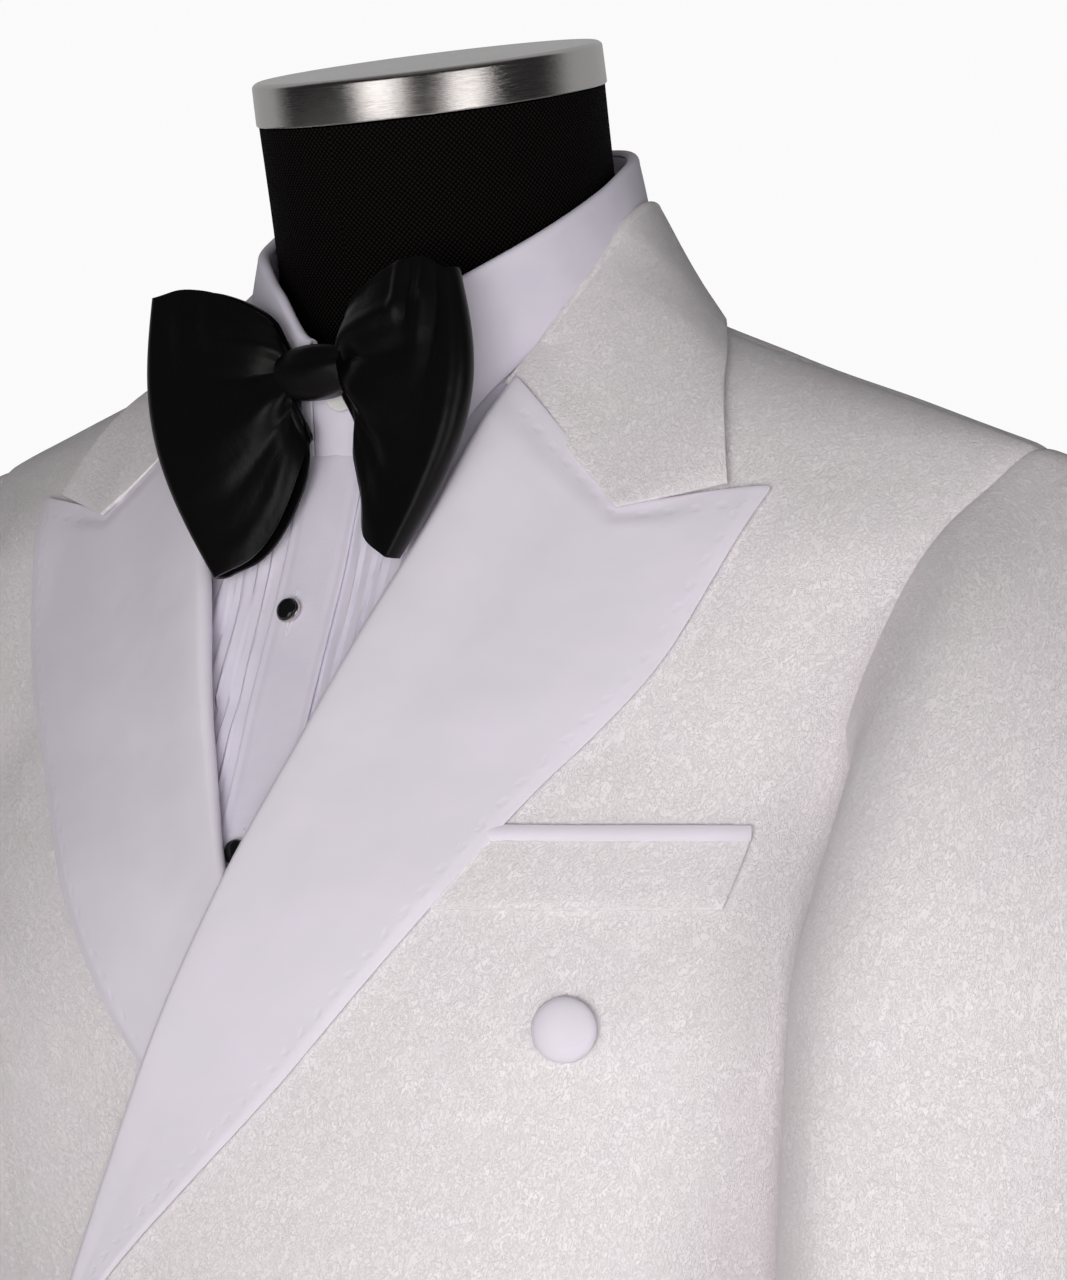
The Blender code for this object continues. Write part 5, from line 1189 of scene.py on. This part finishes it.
BAND_TOP = (0.0596, 0.0708, -0.0197)
BAND_HEIGHTS = table("turn z", (0, 1.4875), (10, 1.4892), (30, 1.5), (45, 1.5098), (60, 1.5196),
                     (75, 1.5297), (90, 1.5395), (110, 1.551), (140, 1.5605), (180, 1.5645))
BAND_START, BAND_END, BAND_STEPS = -7.0, 352.5, 22
LEAF_INSET = 2                               # the collar starts this many steps in on the band
BAND_OUT, BAND_DROP = 0.0022, 0.0015         # the band's lap over the shirt
LEAF = table(
    "turn low_turn low_z flare",
    (5, 27, 1.437, 0.007),
    (35, 46, 1.475, 0.0026),
    (70, 76, 1.5, 0.0027),
    (100, 102, 1.512, 0.0031),
    (140, 140, 1.524, 0.0032),
    (180, 180, 1.53, 0.0032))
LEAF_FOLD, LEAF_FALL_END = 0.0011, 0.7


def band_top(turn, out=0.0, right=None):
    """The band's top edge; it hugs the neck more closely on the wearer's right."""
    cut = np.abs((turn + 180) % 360 - 180)
    right = turn % 360 > 180 if right is None else right
    snug = np.where(right, ease(0, 40, cut) * ease(150, 100, cut), 0)
    rise = np.where(right, 0.0085 * ease(4, 26, cut) * ease(80, 38, cut), 0)
    ring = (BAND_TOP[0], BAND_TOP[1] - 0.005 * snug, BAND_TOP[2] + 0.001 * snug)
    return ring_point(ring, turn, BAND_HEIGHTS.z(cut) + rise, out)


def band_line(turn, share, right=None):
    """A point of the band by turn and by share of the way up from its lap over the shirt."""
    low = shirt_neck(turn)
    low = low + away_from(low, BAND_TOP[2]) * BAND_OUT - UP * BAND_DROP
    return between(low, band_top(turn, right=right), share)


def band_turn(step):
    return mix(BAND_START, BAND_END, step / BAND_STEPS)


def leaf_point(u, v):
    """The turned-down collar: a fall outside the band and a soft fold over the band's top."""
    step, last = BAND_STEPS * u, BAND_STEPS - LEAF_INSET
    turn = np.where(step < LEAF_INSET, mix(5, band_turn(LEAF_INSET), step / LEAF_INSET),
                    np.where(step > last, mix(band_turn(last), 355, (step - last) / LEAF_INSET),
                             band_turn(step)))
    cut, right = halved(turn)
    base = band_top(cut, 0.0007, right)
    outward = away_from(base, BAND_TOP[2])
    t = share_of(0, LEAF_FALL_END, v)
    low_turn = LEAF.low_turn(cut)
    bottom, top = band_line(low_turn, 0 * cut), band_line(low_turn, 1 + 0 * cut, right)
    share = (LEAF.low_z(cut) - bottom[..., 2]) / (top[..., 2] - bottom[..., 2])
    low = between(bottom, top, share)
    low[..., 0] = np.minimum(low[..., 0], bottom[..., 0])
    low = clear_of_body(low + away_from(low, BAND_TOP[2]) * LEAF.flare(cut)[..., None], -0.002)
    fall = (between(low, base + outward * 2 * LEAF_FOLD, t)
            + outward * (0.0007 * np.sin(np.pi * t))[..., None])
    over = soft_fold(base + UP * SEAM, outward, LEAF_FOLD,
                     (v - LEAF_FALL_END) / (1 - LEAF_FALL_END))
    return flipped(choose(v <= LEAF_FALL_END, fall, over), right)


def shirt_sleeve_point(u, v):
    low = share_of(SLEEVE_LOW_Z, SLEEVE_HIGH_Z, CUFF_HIGH_Z + SEAM) * SLEEVE_SHARE
    return sleeve_point(360 * u, mix(low, 0.82, v), SHIRT_INSET)


def cuff_point(u, v):
    return sleeve_ring(360 * u, mix(CUFF_LOW_Z, CUFF_HIGH_Z, v), SHIRT_INSET)


cloth("shirt_band", "shirting", 22, 150, lambda u, v: band_line(band_turn(BAND_STEPS * u), v),
      SHIRTING, held="folded")
cloth("shirt_collar", "shirting", 44, 170, leaf_point, SHIRTING, held="folded",
      rests_on=("shirt_band",))
for SIDE in SIDES:
    cloth("shirt_sleeve", "shirting", 40, 48, shirt_sleeve_point, SHIRTING, SIDE, wrapped=True)
    cloth("shirt_cuff", "shirting", 20, 72, cuff_point, SHIRTING, SIDE, wrapped=True,
          relief=lambda u, v, p: topstitch(p[..., 2] - CUFF_LOW_Z - 0.0045))

# ------------------------------------------------------------------ bow tie
BOW_Y, BOW_Z, BOW_TILT, STRAP_SHARES = -0.1015, 1.4787, 4.0, (0.42, 0.86)
WINGS = {
    "left": table(
        "s x_low z_low x_high z_high",
        (0.0, 0.014, 1.4702, 0.014, 1.4875),
        (0.14, 0.0172, 1.461, 0.0175, 1.499),
        (0.35, 0.0188, 1.451, 0.026, 1.5055),
        (0.6, 0.0218, 1.437, 0.0375, 1.5105),
        (0.82, 0.0252, 1.4235, 0.0475, 1.5112),
        (1.0, 0.0345, 1.416, 0.056, 1.5065)),
    "right": table(
        "s x_low z_low x_high z_high",
        (0.0, 0.008, 1.4702, 0.008, 1.4875),
        (0.14, 0.0052, 1.46, 0.0125, 1.4965),
        (0.35, 0.004, 1.449, 0.023, 1.5035),
        (0.6, 0.01, 1.434, 0.037, 1.5092),
        (0.82, 0.0195, 1.42, 0.0495, 1.5115),
        (1.0, 0.032, 1.4145, 0.0605, 1.5102))}
BELLY = {"left": 0.012, "right": 0.009}
WING_LEAF = 5 / 14                           # share of the loop that is its front leaf
SWEEPS = (
    (0.0, 0.72, 0.95, 0.9, 0.05, 0.001, 0.05),
    (0.05, 0.55, 0.9, 0.72, 0.045, -0.0013, 0.06),
    (0.05, 0.4, 0.85, 0.42, 0.05, 0.0013, 0.05),
    (0.08, 0.3, 0.95, 0.22, 0.045, -0.0012, 0.03),
    (0.3, 0.12, 1.0, 0.05, 0.04, 0.001, 0.02))
UPRIGHTS = (
    (0.8, 0.62, 0.84, 1.02, 0.03, 0.0012, 0.01),
    (0.88, 0.55, 0.93, 1.02, 0.026, -0.0011, 0.01),
    (0.7, 0.7, 0.72, 1.02, 0.028, -0.0011, 0.01),
    (0.62, 0.74, 0.62, 1.02, 0.03, 0.001, 0.01))
FOLD_STRENGTHS = {"left": (1.0, 1.0), "right": (0.8, 0.25)}


def tilted(places, tilt):
    x, y, z = places[..., 0], places[..., 1], places[..., 2] - BOW_Z
    return stack(x * cosd(tilt) - z * sind(tilt), y, BOW_Z + x * sind(tilt) + z * cosd(tilt))


def out_along_wing(u):
    return np.minimum(np.minimum(u, 1 - u) / WING_LEAF, 1)


def wing_point(u, v, side):
    """A wing: one loop of satin from the knot out, round its outer fold and back behind."""
    s, angle = out_along_wing(u), np.pi * share_of(WING_LEAF, 1 - WING_LEAF, u)
    to_back, turned_in, wing = -np.cos(angle), np.sin(angle), WINGS[side]
    x, _, z = split(between(stack(wing.x_low(s), 0, wing.z_low(s)),
                            stack(wing.x_high(s), 0, wing.z_high(s)), v))
    belly = np.sin(np.pi * v)
    x = x + BELLY[side] * belly * s**2 + 0.0042 * turned_in * (0.4 + 0.6 * belly)
    half = mix(0.002, 0.0042, ease(0, 0.5, s)) * mix(0.6, 1.0, belly)
    half = half + 0.0022 * belly * np.sin(np.pi * np.minimum(s, 0.9))
    back = 0.0055 * (1 - v) ** 3 * ease(0, 0.25, s) * ease(1.0, 0.6, s)
    droop = 0.13 * (1.492 - z) * ease(0, 0.4, s)
    return tilted(stack(x, BOW_Y - droop + back + to_back * half, z),
                  BOW_TILT if side == "left" else -BOW_TILT)


def wing_relief(u, v, places, side):
    """Pleats spread from the knot; the hanging cloth has a few long sweeping folds."""
    s, (sweep, upright) = out_along_wing(u), FOLD_STRENGTHS[side]
    gathered = 0.0011 * (1 - ease(0.08, 0.75, s)) * np.cos(2 * np.pi * 2.5 * v + 0.6)
    made = gathered + creases(s, v, SWEEPS) * sweep + creases(s, v, UPRIGHTS) * upright
    return made * np.where(u < 0.5, 1.0, 0.7) * ease(1.05, 0.9, s)


def knot_point(u, v):
    """The knot's band, a short barrel round the pinched middle, closed at both ends."""
    along = share_of(0.15, 0.85, v)
    shut = np.sqrt(np.clip(np.minimum(v, 1 - v) / 0.15, 0.0, 1.0))
    swell = (1 - 0.22 * (2 * along - 1) ** 2) * shut
    wave = np.sin(2 * np.pi * (6 * u + 0.25 * np.sin(3 * along))) * (0.6 + 0.4 * along)
    swell = swell * (1 + 0.045 * shut * wave)
    return tilted(stack(0.003 + 0.0125 * (2 * along - 1),
                        BOW_Y - 0.0006 + 0.0076 * swell * cosd(-360 * u),
                        BOW_Z + 0.0094 * swell * sind(-360 * u)), BOW_TILT)


def strap_point(u, v):
    place = band_line(band_turn(mix(2, 20, u)), mix(*STRAP_SHARES, v))
    return place + away_from(place, BAND_TOP[2]) * (SHIRTING + SEAM)


for SIDE in SIDES:
    cloth("bow_wing", "black_satin", 76, 118, partial(wing_point, side=SIDE), THIN_SATIN, SIDE,
          held="folded", rests_on=("bow_knot",), cut_turned=True,
          relief=partial(wing_relief, side=SIDE))
closed_piece("knot", "black_satin", 60, 80, knot_point, "bow_knot", turn_over=True)
cloth("bow_strap", "black_satin", 8, 90, strap_point, STRAP_SATIN, held="folded",
      rests_on=("shirt_band",))

# ------------------------------------------------------------------ dress form
NECK_TOP, NECK_LEAN, NECK_LENGTH = np.array((0, -0.0285, 1.5745)), 13.0, 0.16
NECK_HALF_WIDTH, NECK_HALF_DEPTH, CAP_HEIGHT = 0.058, 0.064, 0.0148
FORM_BOTTOM_Z, FORM_TOP_LEVEL, POLE_X, POLE_RADIUS = 0.935, 1.9, 0.095, 0.011
BASE_RADIUS, BASE_HEIGHT = 0.21, 0.014
TORSO_END, TORSO_CHEST = 0.03, 0.6           # shares of the torso's rows


def in_neck(places):
    """From the neck's own upright axes to its place, leaning forward."""
    x, y, z = split(places)
    return stack(x, y * cosd(NECK_LEAN) - z * sind(NECK_LEAN),
                 y * sind(NECK_LEAN) + z * cosd(NECK_LEAN)) + NECK_TOP


def neck_point(u, v):
    """The neck, a little hollowed at the side, its top turned in under the cap."""
    down = NECK_LENGTH * np.clip((0.9 - v) / 0.9, 0, 1)
    shut = np.sqrt(np.clip((1 - v) / 0.1, 0, 1)) * np.clip(v / 0.02, 0, 1)
    hollow = 0.012 * np.sin(np.pi * np.clip(down / 0.1, 0, 1))
    spread = (1 + 0.03 * down / NECK_LENGTH - hollow) * shut
    return in_neck(stack(NECK_HALF_WIDTH * spread * sind(360 * u),
                         -NECK_HALF_DEPTH * spread * cosd(360 * u), -down))


def torso_point(u, v):
    """The torso under the shirt, narrowed at the shoulders and closed above and below."""
    shut = np.sqrt(np.clip(np.minimum(v, 1 - v) / TORSO_END, 0, 1))
    w = share_of(TORSO_END, 1 - TORSO_END, v)
    level = np.where(w < TORSO_CHEST, mix(level_of(FORM_BOTTOM_Z), 1.0, w / TORSO_CHEST),
                     mix(1.0, FORM_TOP_LEVEL, (w - TORSO_CHEST) / (1 - TORSO_CHEST)))
    place = skin_all_round(360 * u, level, -mix(0.026, 0.02, ease(0.5, 0.7, level)),
                           0.004 + 0.024 * ease(0.8, 1.6, level))
    return between(place.mean(axis=1, keepdims=True), place, shut)


CAP_RIM = rounded([(0.0, 0.0), (NECK_HALF_WIDTH + 0.0008, 0.0),
                   (NECK_HALF_WIDTH + 0.0006, CAP_HEIGHT - 0.0012),
                   (NECK_HALF_WIDTH - 0.001, CAP_HEIGHT), (0.0, CAP_HEIGHT)], 0.0008)


def cap_point(u, v):
    """The cap's brushed plate: a flat top and a rim with softened corners."""
    radius, height = read_profile(CAP_RIM, v)
    return in_neck(stack(radius * sind(360 * u),
                         -radius * NECK_HALF_DEPTH / NECK_HALF_WIDTH * cosd(360 * u),
                         height + 0.0004))


for NAME, ROWS, COLUMNS, POINT in (("form_neck", 80, 96, neck_point),
                                   ("form_torso", 60, 72, torso_point)):
    closed_piece(NAME, "black_cloth", ROWS, COLUMNS, POINT, "form_body")
closed_piece("neck_cap", "steel", len(CAP_RIM) - 1, 160, cap_point, "form_cap")
for NAME, STEPS, X, CORNER, PROFILE in (
        ("pole", 72, POLE_X, 0.003,
         [(0.0, BASE_HEIGHT + 0.0304), (POLE_RADIUS, BASE_HEIGHT + 0.0304),
          (POLE_RADIUS, FORM_BOTTOM_Z - 0.022), (0.03, FORM_BOTTOM_Z - 0.01),
          (0.03, FORM_BOTTOM_Z - 0.0008), (0.0, FORM_BOTTOM_Z - 0.0008)]),
        ("base", 144, 0, 0.003,
         [(0.0, 0.0), (BASE_RADIUS - 0.001, 0.0), (BASE_RADIUS, 0.006), (BASE_RADIUS - 0.001, 0.01),
          (BASE_RADIUS - 0.006, BASE_HEIGHT), (0.0, BASE_HEIGHT)]),
        ("socket", 72, POLE_X, 0.002,
         [(0.0, BASE_HEIGHT + 0.0004), (0.026, BASE_HEIGHT + 0.0004), (0.019, BASE_HEIGHT + 0.028),
          (0.017, BASE_HEIGHT + 0.03), (0.0, BASE_HEIGHT + 0.03)])):
    turned(NAME, "steel", rounded(PROFILE, CORNER), STEPS, (X, 0, 0), UP, f"form_{NAME}")

# ------------------------------------------------------------------ trousers
LEG = table(
    "z x y half_width half_depth",
    (0.036, 0.098, 0.004, 0.056, 0.07),
    (0.2, 0.098, 0.002, 0.058, 0.073),
    (0.45, 0.096, 0.0, 0.064, 0.08),
    (0.65, 0.092, 0.0, 0.073, 0.093),
    (0.79, 0.088, 0.0, 0.082, 0.108),
    (0.86, 0.088, 0.0, 0.086, 0.118))
CROTCH_Z, SEAT_Z, WAIST_Z, WAISTBAND_HEIGHT = 0.795, 0.88, 1.04, 0.036
TROUSER_IN, CREASE = 0.012, 0.006
TROUSER_CREASES = (
    (0.02, 0.78, 0.14, 0.7, 0.025, 0.0022, 0.01),
    (0.02, 0.74, 0.12, 0.63, 0.022, -0.002, 0.01),
    (0.24, 0.72, 0.15, 0.6, 0.022, 0.0018, 0.01),
    (0.03, 0.53, 0.14, 0.46, 0.02, 0.0022, 0.01),
    (0.22, 0.5, 0.12, 0.43, 0.02, -0.002, 0.01),
    (0.05, 0.3, 0.09, 0.12, 0.02, -0.0016, 0.01),
    (0.19, 0.34, 0.16, 0.1, 0.022, 0.0018, 0.01),
    (0.03, 0.12, 0.2, 0.09, 0.016, 0.0024, 0.01),
    (0.24, 0.1, 0.08, 0.065, 0.013, -0.002, 0.01))


def trouser_point(u, v, front):
    """Half a leg's tube: the front from the inner seam round to the side, or the back."""
    z = mix(LEG.keys[0], WAIST_Z, v)
    side = 90 * (u if front else 1 - u)
    around, sign = 2 * side - 90, -1 if front else 1
    ridge = CREASE * (1 - np.abs(2 * u - 1)) ** 3
    x = LEG.x(z) + LEG.half_width(z) * sind(around)
    y = LEG.y(z) + sign * (LEG.half_depth(z) * cosd(around) + ridge)
    hip = skin(side if front else 180 - side, level_of(np.maximum(z, HEM_Z)), -TROUSER_IN)
    blend = ease(CROTCH_Z - 0.03, SEAT_Z + 0.04, z)
    x, y = mix(x, np.maximum(hip[..., 0], SEAM), blend), mix(y, hip[..., 1], blend)
    x = np.maximum(x, mix(0.0, 0.0014, ease(CROTCH_Z - 0.1, CROTCH_Z, z)))
    seam = 0.001 * ((1 - u) if front else u) ** 30 * ease(CROTCH_Z, CROTCH_Z - 0.06, z)
    return stack(x, y + sign * seam, z)


def trouser_relief(u, v, places, front):
    """Drags at the hip, soft breaks at the knee and above the hem."""
    inner, outer, low, _ = from_edges(places)
    z = places[..., 2]
    folds = (creases(u / 4, z, TROUSER_CREASES)
             + ripple(u / 3, z, 7.0 if front else 9.0, 0.12, 0.001))
    free = ease(0, 0.03, np.minimum(inner, outer)) * ease(0, 0.02, low)
    return folds * free + valley(outer if front else inner)


def waistband_point(u, v):
    level = level_of(WAIST_Z + SEAM + WAISTBAND_HEIGHT * v)
    return skin_all_round(360 * u, level, -TROUSER_IN)


for SIDE in SIDES:
    for NAME in ("front", "back"):
        cloth(f"trouser_{NAME}", "jacquard", 140, 34, partial(trouser_point, front=NAME == "front"),
              CLOTH, SIDE, relief=partial(trouser_relief, front=NAME == "front"),
              rests_on=("waistband",))
cloth("waistband", "satin", 14, 120, waistband_point, CLOTH, wrapped=True, held="folded")

# ------------------------------------------------------------------ buttons and studs
BUTTON_ROWS = ((1.275, 0.114), (1.15, 0.064), (1.03, 0.064))      # z, x
STUDS = ((-0.004, 1.4015), (-0.0025, 1.324))                          # x, z
PEARL_X, PEARL_Z, PEARL_FACING = 0.0046, 1.4722, unit(np.array((0.12, -1.0, -0.05)))
DOME = [(0.0, 0.0), (0.0086, 0.0), (0.0099, 0.0008), (0.0101, 0.0014), (0.0096, 0.0025),
        (0.0084, 0.0033), (0.0065, 0.004), (0.0043, 0.0044), (0.0022, 0.0046), (0.0, 0.0047)]
SETTING = [(0.0, 0.0), (0.0018, 0.0), (0.0037, 0.0005), (0.0043, 0.0012), (0.0043, 0.0022),
           (0.004, 0.0025), (0.0037, 0.0024), (0.0, 0.0024)]
STONE = [(0.0, 0.0022), (0.0037, 0.0022), (0.0038, 0.0029), (0.0034, 0.0035), (0.002, 0.0038),
         (0.0, 0.0039)]
PEARL = [(0.0, 0.0), (0.0048, 0.0), (0.0055, 0.0005), (0.0056, 0.0014), (0.0052, 0.0021),
         (0.0044, 0.0022), (0.0036, 0.0017), (0.0, 0.0015)]
HOLE_HEIGHT, HOLE_HALF_WIDTH, HOLE_STITCHES = 0.015, 0.0007, 26
ON_SHIRT = float(shirt_out(0.0)) + 2 * SHIRTING

for NUMBER, (X, Z) in enumerate(((side * x, z) for z, x in BUTTON_ROWS for side in (1, -1)), 1):
    OUT = CLOTH + 0.0006 + (float(overlap_lift(X, Z)) if X > -FRONT_EDGE_X else 0)
    turned(f"satin_button_{NUMBER}", "satin", DOME, 48, on_front(X, Z, OUT), facing_at(X, Z, OUT),
           f"button_{NUMBER}")
for NUMBER, (X, Z) in enumerate(STUDS, 1):
    for NAME, FINISH, PROFILE in (("setting", "silver", SETTING), ("stone", "jet", STONE)):
        turned(f"stud_{NAME}_{NUMBER}", FINISH, PROFILE, 48, on_front(X, Z, ON_SHIRT + 0.0008),
               facing_at(X, Z, ON_SHIRT + 0.0008), f"stud_{NUMBER}")

PEARL_TURN = np.degrees(np.arcsin(PEARL_X / BAND_TOP[0]))
LOW, HIGH = band_line(PEARL_TURN, 0.0), band_line(PEARL_TURN, 1.0)
PEARL_PLACE = mix(LOW, HIGH, (PEARL_Z - LOW[2]) / (HIGH[2] - LOW[2]))
turned("band_pearl_button", "pearl", PEARL, 48, PEARL_PLACE + PEARL_FACING * (SHIRTING + 0.0009),
       PEARL_FACING, "band_button")


def buttonhole_point(u, v, x, z):
    """A worked buttonhole: a slim rim of stitches beside and round its slit."""
    turn, swing = 360 * u, 360 * v
    radius = 0.00032 * (1 + 0.3 * np.sin(2 * np.pi * HOLE_STITCHES * u))
    reach = HOLE_HALF_WIDTH + radius * cosd(swing)
    at_z = z - ((HOLE_HEIGHT / 2 - HOLE_HALF_WIDTH + reach) * np.sign(cosd(turn))
                * np.abs(cosd(turn)) ** 0.5)
    return (on_front(x + reach * sind(turn), at_z, ON_SHIRT + 0.0004)
            + facing_at(x, z) * (radius * sind(swing))[..., None])


for NUMBER, (X, Z) in enumerate(STUDS, 1):
    closed_piece(f"stud_hole_{NUMBER}", "thread", 12, 90, partial(buttonhole_point, x=X, z=Z))

# ------------------------------------------------------------------ floor, light and camera
FLOOR_SIZE, LIGHT_COLOUR, AIM = 12.0, (1.0, 0.985, 0.965), Vector((0.03, -0.1, 1.38))
CAMERA_PLACE, CAMERA_TURN, CAMERA_PITCH = (0.6789, -1.0497, 1.408), 32.0, 0.805

(laid_grid("floor", "floor", 1, 1,
                   lambda u, v: stack(FLOOR_SIZE * (u - 0.5), FLOOR_SIZE * (v - 0.5), 0))[0])


def soft_light(name, place, size, power, shines=True):
    light = bpy.data.lights.new(name, "AREA")
    light.shape, light.size, light.size_y = "RECTANGLE", *size
    light.energy, light.color = power, LIGHT_COLOUR
    holder = linked(name, light)
    holder.visible_glossy = shines
    holder.matrix_world = stance(place, AIM - Vector(place))


soft_light("key", (0.98, -2.1, 1.24), (1.2, 0.9), 29.0, shines=False)
soft_light("front panel", (0.36, -2.34, 1.15), (1.25, 1.5), 10.5)
soft_light("side panel", (2.17, -0.93, 1.15), (1.0, 1.5), 8.3)
soft_light("top", (0.1, -0.2, 3.2), (1.6, 1.6), 0.8)
soft_light("back fill", (-0.9, 2.3, 0.7), (1.6, 1.6), 9.0, shines=False)

# The room is dim for the cloth, white for the camera, and shines with a pale wall behind.
WORLD = bpy.context.scene.world = bpy.data.worlds.new("studio")
WORLD.use_nodes = True
TREE = WORLD.node_tree
BACKWARD = node(TREE, "VectorMath", {0: node(TREE, "TexCoord").outputs["Generated"],
                                     1: (-0.5, 1.0, 0.0)}, operation="DOT_PRODUCT")
RAY = node(TREE, "LightPath").outputs
MIRRORED_ROOM = ranged(TREE, BACKWARD.outputs["Value"], 0.24, 0.4, 0.03, 0.42, "LINEAR")
ROOM = ranged(TREE, RAY["Is Glossy Ray"], 0.0, 1.0, 0.095, MIRRORED_ROOM, "LINEAR")
plug(TREE, TREE.nodes["Background"].inputs, {
    "Strength": ranged(TREE, RAY["Is Camera Ray"], 0.0, 1.0, ROOM, 0.96, "LINEAR"),
    "Color": (1, 1, 1, 1)})

CAMERA = bpy.data.cameras.new("camera")
CAMERA.lens, CAMERA.sensor_width, CAMERA.sensor_fit = 100.125, 36.0, "AUTO"
CAMERA_OBJECT = bpy.context.scene.camera = linked("camera", CAMERA)
CAMERA_OBJECT.matrix_world = stance(CAMERA_PLACE, (
    -sind(CAMERA_TURN) * cosd(CAMERA_PITCH), cosd(CAMERA_TURN) * cosd(CAMERA_PITCH),
    -sind(CAMERA_PITCH)))
bpy.context.scene.view_settings.view_transform = "Standard"
